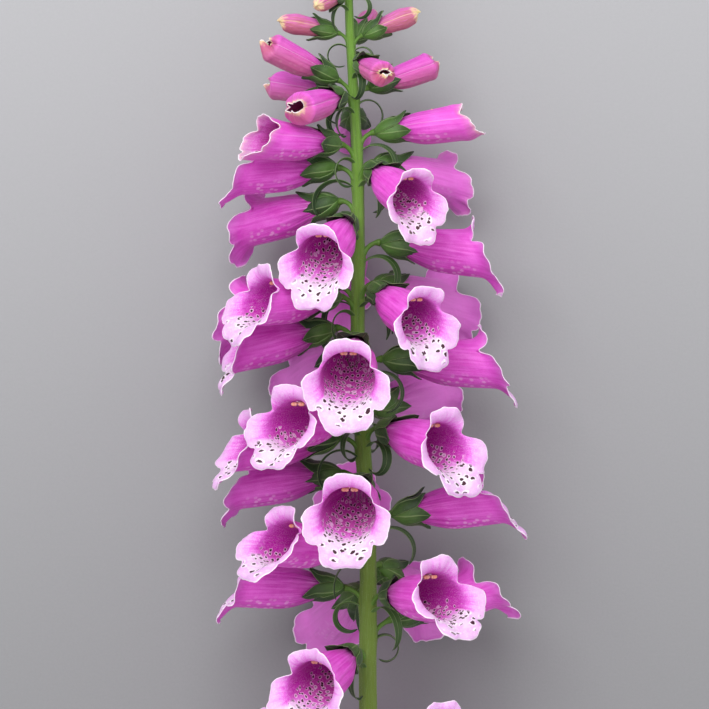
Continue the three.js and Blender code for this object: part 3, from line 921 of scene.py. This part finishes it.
def table_finish(colours):
    """The plain table, with a very faint grain. Painted shade darkens it evenly from the tip to
    the low end.
    """
    finish = Finish("table")
    place = finish.node("TexCoord", output="Object")
    grain = finish.noise(place, 900.0)
    height = finish.node("SeparateXYZ", values={0: place}).part("Y")
    # Painted shade: the table darkens towards the low end.
    low = height.below(-0.24, 0.26)
    plain = as_light(colours.table)
    painted_shade = tuple(TABLE_PAINTED_SHADE * part for part in plain[:3]) + (1.0,)
    colour = finish.mix(low + grain * 0.12, plain, painted_shade)
    return finish.surface(colour, 0.85 + grain * 0.05, grain, 0.05 * MM)


# ==== Open flowers ====
def round_mouth(table, column, angles, softness):
    """A column of MOUTH or EDGE at any angle: straight lines between its angles, mirrored from
    left to right, then softened under a bell curve some degrees wide."""
    dense = np.arange(360)
    folded = np.minimum(dense, 360 - dense)
    values = np.interp(folded, table[:, 0], table[:, column])
    weights = np.exp(-0.5 * (folded / softness) ** 2)
    smooth = np.fft.ifft(np.fft.fft(values) * np.fft.fft(weights / weights.sum())).real
    return np.interp(np.degrees(angles) % 360, dense, smooth, period=360)


def ragged(angles, number, trait, waves):
    """A sum of sines round the mouth with fixed chance phases, each as high as 1 / its waves."""
    total = np.zeros_like(angles)
    for step, count in enumerate(waves):
        phase = TURN * vary(number, trait + step)
        total += np.sin(count * angles + phase) / count
    return total * waves[0]


def tube_radius(tube, opened):
    """The bell's radius at a share of its tube: a base, a swelling, which is the square of a sine
    up to a share of the length, and an even widening; slimmer while the flower is shut."""
    swelling = np.sin(np.pi / 2 * np.clip(tube / BELL_SWOLLEN_AT, 0, 1)) ** 2
    radius = BELL_BASE_RADIUS + BELL_SWELLING * swelling + BELL_WIDENING * tube
    return radius * between(YOUNG_SLIMNESS, 1, opened)


def side_groove(angles):
    """1 along the two lines where the upper half of a young flower is folded over the lower one,
    falling off to either side as a bell curve."""
    off = np.abs((angles + np.pi) % TURN - np.pi) - np.radians(FOLD_ANGLE)
    return np.exp(-((off / FOLD_WIDTH) ** 2))


def bell_profile(placed, petals):
    """The bell's middle surface on a grid, rows from the narrow end to the edge of the lobes.

    Tube: circles of the tube's radius, with a belly that adds a half sine underneath. Lobe: the
    profile leaves the throat at a set angle and turns evenly to the lobe's own, then more sharply
    near its edge, and the point is the running sum of cosine and sine of that angle. A young
    mouth's opening is drawn in, more from above and below, so that it ends as a level slit.
    """
    number, size, opened = placed.numbers[0], placed.size[0], placed.open[0]
    angles = circle(SIDES)
    upper = np.cos(angles)
    tube = np.linspace(0, 1, TUBE_ROWS)[:, None]
    slanted = 1 - MOUTH_SLANT * opened * upper * tube
    longer = 1 + BELL_LENGTH_VARIES * vary(number, LENGTH_TRAIT)
    along = BELL_LENGTH * longer * tube * slanted
    radius = tube_radius(tube, opened) * (1 - BELL_BELLY * np.sin(np.pi * tube) * upper)

    lobe = round_mouth(MOUTH, 1, angles, 8)
    share = round_mouth(EDGE, 1, angles, 1.3)
    share = share * (1 + EDGE_RAGGED * ragged(angles, number, 13, (9, 17, 23, 37)))
    lip_turn = LIP_VARIES * vary(number, LIP_TRAIT) * np.maximum(-upper, 0)
    turned_to = between(YOUNG_CURL, round_mouth(MOUTH, 2, angles, 8) + lip_turn, opened)
    begin = np.radians(THROAT_ANGLE)
    turn = np.radians(turned_to) - begin
    reach = lobe * between(YOUNG_LOBES, share, opened)
    flare = np.linspace(0, 1, LOBE_ROWS)[:, None]
    middle = (flare[1:] + flare[:-1]) / 2
    edge = petals.edge_curl * ease(0.7, 1, middle) ** 2
    tip = petals.tip_curl * ease(0.72, 1, middle) * ease(0.86, 0.99, -upper)
    angle = begin + turn * (reach / lobe) * middle + (edge + tip) * opened
    step = reach / (LOBE_ROWS - 1)
    along = np.concatenate([along, along[-1] + np.cumsum(np.cos(angle) * step, 0)])
    lobes = radius[-1] + np.cumsum(np.sin(angle) * step, 0)
    shut = (1 - opened) ** 2 * ease(0.2, 1, flare[1:])
    pinched = 1 - YOUNG_NARROWED * shut
    radius = np.concatenate([radius, lobes * pinched])

    sag = BELL_SAG * np.concatenate([tube**2, np.ones((LOBE_ROWS - 1, 1))])
    shut = np.concatenate([0 * tube, shut])
    side = -radius * BELL_BREADTH * np.sin(angles)
    high = radius * upper * (1 - YOUNG_FLATTENED * shut) + YOUNG_RAISED * shut - sag
    points = vector(along, side, high) * size
    points[..., 0] += placed.start[0]
    lobe_share = np.concatenate([np.zeros((TUBE_ROWS, 1)), flare[1:]])
    lobe_share = np.broadcast_to(lobe_share, radius.shape)
    past = np.concatenate([(tube - 1) * BELL_LENGTH * np.ones(SIDES), flare[1:] * reach])
    return points, angles, lobe_share, past


def wall_normals(points):
    """Unit normals of a grid that closes on itself sideways, from differences of neighbours."""
    across = np.roll(points, -1, 1) - np.roll(points, 1, 1)
    along = np.gradient(points, axis=0)
    return unit(np.cross(across, along))


def bell_relief(placed, angles, lobe, past, petals):
    """How far the wall stands out from its plain form: waves that grow along the lobes as a power,
    a channel down the lower lip, low ribs on the tube, and in a young flower its folds."""
    number, size, opened = placed.numbers[0], placed.size[0], placed.open[0]
    wave = petals.rim_wave / MM * lobe**1.6 * ragged(angles, number, 17, (5, 8, 13))
    from_below = np.abs(angles - np.pi)
    channel = CHANNEL_DEPTH * np.exp(-((from_below / CHANNEL_WIDTH) ** 2))
    channel = channel * ease(0.0, 0.6, lobe)
    from_shoulder = (from_below - SHOULDER_PLACE) / SHOULDER_WIDTH
    shoulders = -SHOULDER_HEIGHT * np.exp(-(from_shoulder**2)) * ease(0.0, 0.7, lobe)
    ribs = RIB_HEIGHT * np.cos(RIBS * angles) * ease(-38, -30, past) * (1 - ease(-10, 0, past))
    young = (1 - opened) ** 2
    fold = -FOLD_DEPTH * young * side_groove(angles) * ease(-32, -16, past)
    crumple = CRUMPLE_HEIGHT * young * lobe * ragged(angles, number, 27, (3, 4, 7, 11))
    return ((wave + channel + shoulders) * opened + ribs + fold + crumple) * size


def bell(placed, petals):
    """One open flower: its middle surface with its relief, then half a petal's thickness either
    way, joined round the edge and closed at both ends. Also gives the points of the lower lip's
    inner face, with the directions away from it."""
    middle, angles, lobe, past = bell_profile(placed, petals)
    relief = bell_relief(placed, angles, lobe, past, petals)
    middle = middle + wall_normals(middle) * relief[..., None]
    normals = wall_normals(middle)
    half = petals.wall / MM / 2 * (1 - 0.35 * lobe)[..., None]
    outer, inner = middle + normals * half, middle - normals * half
    rim = middle[-1:] + unit(middle[-1:] - middle[-2:-1]) * half[-1:]
    keep = np.linspace(0, 1, TUBE_ROWS) > HOLLOW_FROM
    keep = np.concatenate([keep, np.ones(LOBE_ROWS - 1, bool)])

    def joined(field):
        return np.concatenate([field, field[-1:], field[keep][::-1]])

    world = placed.carry(np.concatenate([outer, rim, inner[keep][::-1]])[None])[0]
    world = press(world, len(outer), keep.sum(), petals.wall / MM)
    size, start = placed.size[0], placed.start[0]
    ends = vector([start, start + HOLLOW_FROM * BELL_LENGTH * size], 0, 0)
    ends = placed.carry(ends[None])[0]
    is_inside = np.concatenate([np.zeros(len(outer)), [0.5], np.ones(keep.sum())])[:, None]
    sideways = (angles - np.pi) * SPOT_PLACE * size
    # Painted light: flowers far round the stem, in its shade, are given a paler outside.
    painted_light_share = 0.7 * ease(PAINTED_LIGHT_FROM, PAINTED_LIGHT_TO, abs(placed.angle[0]))
    youth = 1 - placed.open[0] ** 0.6
    skin = Skin()
    skin.tubes(
        world[None],
        ends[:1],
        ends[1:],
        place=vector(sideways, joined(past) * size, is_inside),
        turned=vector(np.cos(angles), np.sin(angles), joined(lobe)),
        trait=vector(youth, painted_light_share, 31.7 * placed.numbers[0]),
    )
    on_lip = (lobe > 0) & (lobe < 0.55) & (np.cos(angles) < -0.8)
    away = np.einsum("ki,ij->kj", -normals[on_lip], placed.axes[0])
    return skin, placed.carry(inner[on_lip][None])[0], away


def press(points, outside_rows, inside_rows, wall):
    """Lays flat what would reach through the table. Across the wall from each other, whichever
    face is lower stops at z = 0 and the other one a petal's thickness over it."""
    height = points[..., 2]
    partner = height.copy()
    inside = height[-inside_rows:]
    partner[outside_rows - inside_rows : outside_rows] = inside[::-1]
    partner[-inside_rows:] = height[outside_rows - inside_rows : outside_rows][::-1]
    floor = np.where(height > partner, wall, 0.0)
    pressed = points.copy()
    pressed[..., 2] = np.maximum(height, floor)
    return pressed


# ==== Coloured buds ====
def bud_petals(skin, placed):
    """Closed buds: a profile softened between the radii of BUD_PROFILE, shares of the bud's
    length, with a groove down each side and four folds that deepen towards the blunt tip."""
    share = np.linspace(0, 1, BUD_ROWS)
    radius = soften(np.interp(share, *BUD_PROFILE.T), 1.4) * np.sqrt(1 - share**18)
    angles = circle(BUD_SIDES)
    folds = np.abs(np.sin(2 * angles + 0.6)) ** 0.5 - 0.7
    relief = 1 + BUD_FOLD_DEPTH * ease(0.72, 1, share)[:, None] * folds
    relief = relief - BUD_GROOVE_DEPTH * ease(0.12, 0.5, share)[:, None] * side_groove(angles)
    radius = radius[:, None] * relief
    hook = -BUD_HOOK * share[:, None] ** 2
    uneven = BUD_TIP_UNEVEN * ease(0.8, 1, share)[:, None] * (np.cos(angles) + folds)
    x = share[:, None] + uneven
    shape = around(x, radius, angles) + vector(0, 0, hook)
    long = BUD_LENGTH * placed.size[:, None, None, None]
    start = vector(1, 0, 0) * placed.start[:, None, None, None]
    rings = placed.carry(shape * long + start)
    tip = vector([0, 0.985], 0, [0, hook[-1, 0]])[None, None]
    ends = placed.carry((tip * long + start)[:, 0])
    place = vector(np.cos(angles), np.sin(angles), share[:, None])
    skin.tubes(rings, ends[:, 0], ends[:, 1], place=place)


# ==== Green parts ====
def stem_rings(greenery):
    """The stem: rings square to +Y. The radius carries five blunt ridges, as a cosine that drifts
    round with height, and swells under each flower's stalk as a product of two bell curves."""
    heights = np.linspace(0, STEM_LENGTH, STEM_ROWS)[:, None]
    angles = circle(STEM_SIDES)
    radius = stem_radius(heights) * np.ones_like(angles)
    thin = ease(0, 60, STEM_LENGTH - heights)
    drift = RIDGE_DRIFT * heights
    radius += greenery.ridge / MM * thin * np.cos(RIDGES * angles + drift)
    radius += greenery.ridge / MM * 0.4 * thin * np.cos(FINE_RIDGES * angles - 2.1 * drift)
    for height, angle, _ in ALL_FLOWERS:
        size = usual_size(height)
        rise = (heights - height + STALK_RISE * size) / (5 * size)
        off = (angles - np.radians(angle) + np.pi) % TURN - np.pi
        radius += STALK_SWELLING * size * np.exp(-(rise**2) - (off / 0.5) ** 2)
    centre = stem_point(heights)
    rings = centre + vector(np.sin(angles), 0, np.cos(angles)) * radius[..., None]
    place = vector(np.cos(angles), np.sin(angles), heights / STEM_LENGTH)
    return rings, place


def stalks(skin, placed):
    """Each stalk: a curve of the second degree from inside the stem to the calyx base, leaving the
    stem outward and upward and ending along the flower's axis, thicker at both ends."""
    share = np.linspace(0, 1, 14)[:, None]
    root = stem_point(placed.height - STALK_RISE * placed.calyx)
    root = root + placed.away * stem_radius(placed.height)[:, None] * 0.5
    x = placed.axes[:, 0]
    reach = np.linalg.norm(placed.base - root, axis=1)[:, None]
    bend = placed.base - x * reach * 0.5
    root, bend, base = root[:, None], bend[:, None], placed.base[:, None]
    path = bow(root, bend, base, share)
    heading = unit((1 - share) * (bend - root) + share * (base - bend))
    across = np.broadcast_to(placed.axes[:, None, 1], heading.shape)
    up = unit(np.cross(heading, across))
    foot, end = STALK_THICKER
    thick = STALK_RADIUS + foot * (1 - ease(0, 0.4, share)) + end * ease(0.7, 1, share)
    radius = thick * np.maximum(placed.calyx, 0.5)[:, None, None]
    sine, cosine = np.sin(circle(14))[:, None], np.cos(circle(14))[:, None]
    spokes = up[:, :, None] * cosine - across[:, :, None] * sine
    rings = path[:, :, None] + spokes * radius[:, :, None]
    trait = vector(vary(placed.numbers, 11) * 7, 0.6, 0.75)[:, None, None]
    place = vector(0.5, share, 0)
    skin.tubes(rings, root[:, 0], placed.base, place=place, trait=trait)


def calyx_cups(skin, placed):
    """The green cup that the sepals grow from: a round profile closed at both ends."""
    size = placed.calyx[:, None, None, None]
    radius = np.array(CUP_RADIUS)[:, None] * size[..., 0] + CALYX_LOOSENESS * 0.4
    along = np.array(CUP_ALONG)[:, None] * size[..., 0]
    rings = placed.carry(around(along, radius, circle(20)))
    ends = placed.carry(vector(np.array([-0.1, 3.0]), 0, 0) * size[:, 0])
    trait = vector(vary(placed.numbers, 11) * 7, 0.6, 0.5)[:, None, None]
    skin.tubes(rings, ends[:, 0], ends[:, 1], place=vector(0.5, 0.1, 0), trait=trait)


def petal_radius(placed, x):
    """How far a flower's petals stand from its axis at a distance x along it, in bell or bud."""
    size, opened, start = (
        part[:, None, None, None] for part in (placed.size, placed.open, placed.start)
    )
    along = (x - start) / size
    bell_wall = tube_radius(np.clip(along / BELL_LENGTH, 0, 1), opened)
    bud_wall = np.interp(along / BUD_LENGTH, *BUD_PROFILE.T) * BUD_LENGTH
    return np.where(opened > 0, bell_wall, bud_wall) * size


def sepals(skin, placed, greenery):
    """Five sepals a flower, a closed cup round its petals: the distance from the axis is a little
    over the petals' own, and the tip turns out, more on the upper side. The width is a skewed half
    sine that ends in a point, and each left edge lies over the neighbour's right one. Gives the
    rings back, for the down."""
    centre = TURN * (np.arange(SEPALS) + 0.5)[None, :, None, None] / SEPALS
    number = placed.numbers[:, None, None, None]
    which = np.arange(SEPALS)[None, :, None, None]
    size = placed.calyx[:, None, None, None]
    long = (SEPAL_LENGTH + SEPAL_LENGTH_VARIES * vary(number, 20 + which)) * size
    spread = SEPAL_SPREAD + SEPAL_SPREAD_VARIES * vary(number, 30 + which)
    spread = spread + SEPAL_SPREAD_ABOVE * np.cos(centre)
    wide = (SEPAL_WIDTH + SEPAL_WIDTH_VARIES * vary(number, 40 + which)) * size
    lean = SEPAL_LEAN * vary(number, 50 + which)
    curled = SEPAL_ROLL * vary(number, 55 + which)

    def surface(a, b):
        x = 0.3 * size + long * a
        radius = (petal_radius(placed, x) + SEPAL_OVER_PETALS) * ease(-0.1, 0.2, a)
        radius = np.maximum(radius, np.interp(a, *SEPAL_CUP.T) * size)
        radius = radius + spread * size * ease(0.55, 1.0, a) ** 1.5
        width = wide * np.sin(np.pi * np.clip(0.3 + 0.7 * a**1.1, 0, 1)) ** 0.8
        keel = SEPAL_KEEL * size * (1 - np.abs(b)) ** 2 * ease(0, 0.4, a)
        lap = SEPAL_LAP * b * (1 - ease(0.5, 0.9, a))
        rolled = curled * b * b * ease(0.45, 0.8, a)
        radius = radius + keel + lap + rolled
        return around(x, radius, centre + lean * a + width * b / (radius + 1.2))

    rings = placed.carry(leaf_rings(surface, SEPAL_ROWS, SEPAL_SIDES, greenery.sepal / MM))
    rings = rings.reshape(-1, *rings.shape[2:])
    add_leaves(skin, rings, trait=61, tone=0.3, fresh=0)
    return rings


def bracts(skin, placed, greenery):
    """A curling leaf under each flower: its middle line turns evenly from upward through outward
    to back towards the stem, so it runs along a circle, and its width is part of a half sine."""
    number = placed.numbers[:, None, None]
    size = np.sqrt(usual_size(placed.height))[:, None, None]
    foot = placed.height - STALK_RISE * size[:, 0, 0] - BRACT_BELOW_STALK
    away = placed.away
    centre = stem_point(foot) + away * (stem_radius(foot) - 1)[:, None]
    step = BRACT_LENGTH * size / BRACT_STEPS * (1 + BRACT_LENGTH_VARIES * vary(number, 70))
    rate = np.radians(BRACT_TURN) / BRACT_STEPS
    rate = rate * (BRACT_TURN_SHARE + BRACT_TURN_VARIES * vary(number, 71))
    begin = np.radians(BRACT_START_ANGLE) + rate / 2
    twist = BRACT_TWIST + BRACT_TWIST_VARIES * vary(number, 72)
    slant = BRACT_SLANT * vary(number, 73)
    along_stem = np.array([0.0, 1.0, 0.0])
    across = np.cross(along_stem, away)[:, None, None]
    away = away[:, None, None]

    def surface(a, b):
        run = a * (BRACT_STEPS + BRACT_TIP)
        angle = begin - rate * run
        out = (np.sin(begin) - np.sin(angle)) / rate * step
        up = (np.cos(angle) - np.cos(begin)) / rate * step
        width = 0.6 * BRACT_WIDTH * size * np.sin(np.pi * (0.16 + 0.84 * a)) ** 0.8
        turn = twist * a
        normal_out, normal_up = -np.sin(angle), np.cos(angle)
        lift = width * b * np.sin(turn) + 0.35 * size * (b * b - 0.5)
        side = width * b * np.cos(turn) + slant * run * size
        out, up = out + normal_out * lift, up + normal_up * lift
        return (
            centre[:, None, None]
            + away * out[..., None]
            + along_stem * up[..., None]
            + across * side[..., None]
        )

    rings = leaf_rings(surface, BRACT_ROWS, BRACT_SIDES, greenery.bract / MM)
    add_leaves(skin, rings, trait=81, tone=0, fresh=0)


def green_buds(skin, placed, greenery):
    """Buds still shut in their calyces: an egg, with five sepals laid over it from base to tip."""
    size = placed.size[:, None, None, None]
    share = np.linspace(0.02, 0.98, 14)[:, None]
    radius = GREEN_BUD_RADIUS * np.sin(np.pi * share**0.8) ** 0.7
    rings = placed.carry(around(GREEN_BUD_LENGTH * share, radius, circle(20)) * size)
    ends = placed.carry(vector([0, GREEN_BUD_LENGTH], 0, 0) * size[:, 0])
    trait = vector(vary(placed.numbers, 91) * 9, 0.3, 1.0)[:, None, None]
    skin.tubes(rings, ends[:, 0], ends[:, 1], place=vector(0.5, share, 0), trait=trait)
    centre = TURN * (np.arange(SEPALS) + 0.5) / SEPALS

    def surface(a, b):
        run = 0.06 + 0.96 * a
        radius = (GREEN_BUD_RADIUS + 0.5) * np.sin(np.pi * np.clip(run, 0, 1) ** 0.8) ** 0.7
        turn = centre[None, :, None, None] + 0.8 * b * np.sin(np.pi * (0.3 + 0.69 * a)) ** 0.7
        return around(GREEN_BUD_LENGTH * run * size, (radius + 0.3 * b) * size, turn)

    rings = placed.carry(leaf_rings(surface, 12, 12, greenery.sepal / MM * 0.7))
    add_leaves(skin, rings.reshape(-1, *rings.shape[2:]), trait=93, tone=0, fresh=0.7)


def stem_down(skin, greenery):
    """Hairs all over the stem, spread by steps round it and along it that never fall together."""
    number = np.arange(STEM_HAIRS)
    height = (number * HAIR_STEPS[0]) % 1 * STEM_LENGTH
    away = outward((number * HAIR_STEPS[1]) % 1 * 360)
    roots = stem_point(height) + away * stem_radius(height)[:, None]
    long = greenery.down / MM * (1 + 0.4 * vary(number, 111))
    hairs(skin, roots, away, long * between(1, 0.6, height / STEM_LENGTH))


def sepal_down(skin, rings, greenery):
    """Hairs on the outer face and the edges of the sepals, at chance points of their rings."""
    chosen = np.random.default_rng(5)
    leaf = chosen.integers(0, len(rings), SEPAL_HAIRS)
    row = chosen.integers(1, SEPAL_ROWS - 1, SEPAL_HAIRS)
    side = chosen.integers(-4, 5, SEPAL_HAIRS)
    opposite = (SEPAL_SIDES // 2 - side) % SEPAL_SIDES
    side = side % SEPAL_SIDES
    roots, beyond = rings[leaf, row, side], rings[leaf, row + 1, side]
    roots = roots + (beyond - roots) * chosen.random((SEPAL_HAIRS, 1))
    away = unit(roots - rings[leaf, row, opposite])
    hairs(skin, roots, away, greenery.down / MM * chosen.uniform(0.5, 1.1, SEPAL_HAIRS))


# ==== Stamens ====
def stamens(skin, placed, settings):
    """Four stamens and a style in each open flower. A filament follows the bell's upper wall from
    near its narrow end as a curve of the second degree; an anther is two egg-shaped lobes."""
    size = placed.size[:, None, None]
    share = np.linspace(0, 1, 9)[:, None]
    run = np.linspace(0.06, 0.94, 6)[:, None]
    round_lobe = circle(8)
    long = settings.anther / MM
    for kind, tip in enumerate([*STAMEN_TIPS, STYLE_TIP]):
        y = tip[1]
        ways = (STAMEN_FOOT, y * 0.4, 1.5), (STAMEN_BEND, y * 2.6, 5.4), tip
        root, bend, tip = np.array(ways, float)
        ring = around(0, settings.thread / MM / 2 * (1 - 0.4 * share), circle(6))
        rings = placed.carry((bow(root, bend, tip, share)[:, None] + ring)[None] * size[..., None])
        ends = placed.carry(np.stack([root, tip])[None] * size)
        skin.tubes(rings, ends[:, 0], ends[:, 1], place=vector(0, share, kind))
        if kind == len(STAMEN_TIPS):
            continue
        fat = 0.36 * long * np.sin(np.pi * run) ** 0.7
        for turn in (-1, 1):
            egg = vector(
                (run - 0.5) * long * 0.55,
                turn * (0.5 + (run - 0.5) * long * 0.55) + fat * np.cos(round_lobe),
                fat * np.sin(round_lobe),
            )
            lobe = placed.carry((egg + tip)[None] * size[..., None])
            if turn > 0:
                lobe = lobe[:, :, ::-1]
            skin.tubes(lobe, place=vector(1, run, kind * 2 + turn))


# ==== Operators ====
class FOXGLOVE_OT_bells(bpy.types.Operator):
    """Draw each open flower in place of its solid"""

    bl_idname = "foxglove.bells"
    bl_label = "Open Flowers"

    def execute(self, context):
        petals = context.scene.foxglove_petals
        greenery = context.scene.foxglove_greenery
        finish = petal_finish(petals)
        down = Skin()
        for number in NUMBERS[IS_BELL]:
            skin, roots, away = bell(placed_where(NUMBERS == number), petals)
            add_piece(f"flower_{number:02d}", skin, finish, "petals", f"bell_{number:02d}")
            chosen = np.random.default_rng(number).integers(0, len(roots), LIP_HAIRS)
            chosen = chosen[roots[chosen, 2] > HAIRS_ABOVE]
            long = np.full(len(chosen), 2 * greenery.down / MM)
            hairs(down, roots[chosen], away[chosen], long)
        add_piece("lip_down", down, down_finish(greenery), "petals")
        return {"FINISHED"}


class FOXGLOVE_OT_buds(bpy.types.Operator):
    """Draw each closed flower that shows its petals in place of its solid"""

    bl_idname = "foxglove.buds"
    bl_label = "Coloured Buds"

    def execute(self, context):
        finish = bud_finish(context.scene.foxglove_petals)
        for number in NUMBERS[IS_BUD]:
            skin = Skin()
            bud_petals(skin, placed_where(NUMBERS == number))
            add_piece(f"closed_{number:02d}", skin, finish, "young_petals", f"bud_{number:02d}")
        return {"FINISHED"}


class FOXGLOVE_OT_stem(bpy.types.Operator):
    """Draw the stem in place of the green solid"""

    bl_idname = "foxglove.stem"
    bl_label = "Stem"

    def execute(self, context):
        greenery = context.scene.foxglove_greenery
        rings, place = stem_rings(greenery)
        skin = Skin()
        ends = stem_point([0, STEM_LENGTH])
        skin.tubes(rings[None], ends[:1], ends[1:], place=place)
        add_piece("stem", skin, stem_finish(greenery), "greenery", "leafy_stem")
        return {"FINISHED"}


class FOXGLOVE_OT_calyces(bpy.types.Operator):
    """Draw the stalks, the calyces, the bracts and the green buds of the tip"""

    bl_idname = "foxglove.calyces"
    bl_label = "Calyces and Bracts"

    def execute(self, context):
        greenery = context.scene.foxglove_greenery
        finish = leaf_finish(greenery)
        coloured = placed_where(~IS_GREEN)
        skin, down = Skin(), Skin()
        stalks(skin, Placed(ALL_FLOWERS, NUMBERS))
        calyx_cups(skin, coloured)
        rings = sepals(skin, coloured, greenery)
        add_piece("calyces", skin, finish, "greenery")
        stem_down(down, greenery)
        sepal_down(down, rings, greenery)
        add_piece("down", down, down_finish(greenery), "greenery")
        skin = Skin()
        bracts(skin, coloured, greenery)
        add_piece("bracts", skin, finish, "greenery")
        skin = Skin()
        green_buds(skin, placed_where(IS_GREEN), greenery)
        add_piece("green_buds", skin, finish, "greenery")
        return {"FINISHED"}


class FOXGLOVE_OT_stamens(bpy.types.Operator):
    """Draw the stamens and the style inside each open flower"""

    bl_idname = "foxglove.stamens"
    bl_label = "Stamens"

    def execute(self, context):
        settings = context.scene.foxglove_stamens
        wide = openness_at(ALL_FLOWERS[:, 0]) > OPEN_ENOUGH_FOR_STAMENS
        skin = Skin()
        stamens(skin, placed_where(wide), settings)
        add_piece("stamens", skin, stamen_finish(settings), "petals")
        return {"FINISHED"}


class FOXGLOVE_OT_stage(bpy.types.Operator):
    """Set up the table, the lights and the camera over it"""

    bl_idname = "foxglove.stage"
    bl_label = "Table, Lights and Camera"

    def execute(self, context):
        stage = context.scene.foxglove_stage
        collection = context.scene.collection
        table = bpy.data.meshes.new("table")
        signs = [(-1, -1), (1, -1), (1, 1), (-1, 1)]
        corners = [(TABLE_REACH * x, TABLE_REACH * y, 0) for x, y in signs]
        table.from_pydata(corners, [], [(0, 1, 2, 3)])
        table.materials.append(table_finish(stage))
        table = bpy.data.objects.new("table", table)
        table.location.z = -TABLE_BELOW
        collection.objects.link(table)

        world = bpy.data.worlds.new("studio")
        world.use_nodes = True
        soft = world.node_tree.nodes["Background"].inputs
        soft["Color"].default_value = (1, 1, 1, 1)
        soft["Strength"].default_value = stage.sky
        context.scene.world = world
        key = bpy.data.lights.new("key", "AREA")
        key.shape = "RECTANGLE"
        key.size, key.size_y = KEY_SIZE
        key.energy = stage.key
        key = bpy.data.objects.new("key", key)
        key.location = KEY_PLACE
        aim = Vector(KEY_AIM) - key.location
        key.rotation_euler = aim.to_track_quat("-Z", "Y").to_euler()
        collection.objects.link(key)

        camera = bpy.data.cameras.new("camera")
        camera.lens = stage.lens
        camera.sensor_width = 36
        camera.clip_end = CAMERA_SEES_TO
        camera = bpy.data.objects.new("camera", camera)
        camera.location = (CAMERA_SIDE, CAMERA_ALONG, stage.height)
        collection.objects.link(camera)
        context.scene.camera = camera
        context.scene.view_settings.view_transform = "Standard"
        return {"FINISHED"}


class FOXGLOVE_PT_spike(bpy.types.Panel):
    """The steps that draw the spike, in order"""

    bl_idname = "FOXGLOVE_PT_spike"
    bl_label = "Foxglove Spike"
    bl_space_type = "VIEW_3D"
    bl_region_type = "UI"
    bl_category = "Foxglove"

    def draw(self, context):
        for step in STEPS:
            self.layout.operator(step.bl_idname)
        for group in GROUPS:
            settings = getattr(context.scene, group)
            box = self.layout.box()
            for key in GROUPS[group].__annotations__:
                box.prop(settings, key)


STEPS = (
    FOXGLOVE_OT_bells,
    FOXGLOVE_OT_buds,
    FOXGLOVE_OT_stem,
    FOXGLOVE_OT_calyces,
    FOXGLOVE_OT_stamens,
    FOXGLOVE_OT_stage,
)
GROUPS = {
    "foxglove_petals": FoxglovePetals,
    "foxglove_greenery": FoxgloveGreenery,
    "foxglove_stamens": FoxgloveStamens,
    "foxglove_stage": FoxgloveStage,
}


def register():
    for made in (*GROUPS.values(), *STEPS, FOXGLOVE_PT_spike):
        bpy.utils.register_class(made)
    for name, group in GROUPS.items():
        setattr(bpy.types.Scene, name, PointerProperty(type=group))


def unregister():
    for name in GROUPS:
        delattr(bpy.types.Scene, name)
    for made in reversed((*GROUPS.values(), *STEPS, FOXGLOVE_PT_spike)):
        bpy.utils.unregister_class(made)


def main():
    register()
    bpy.ops.foxglove.bells()
    bpy.ops.foxglove.buds()
    bpy.ops.foxglove.stem()
    bpy.ops.foxglove.calyces()
    bpy.ops.foxglove.stamens()
    bpy.ops.foxglove.stage()


if __name__ == "__main__":
    main()
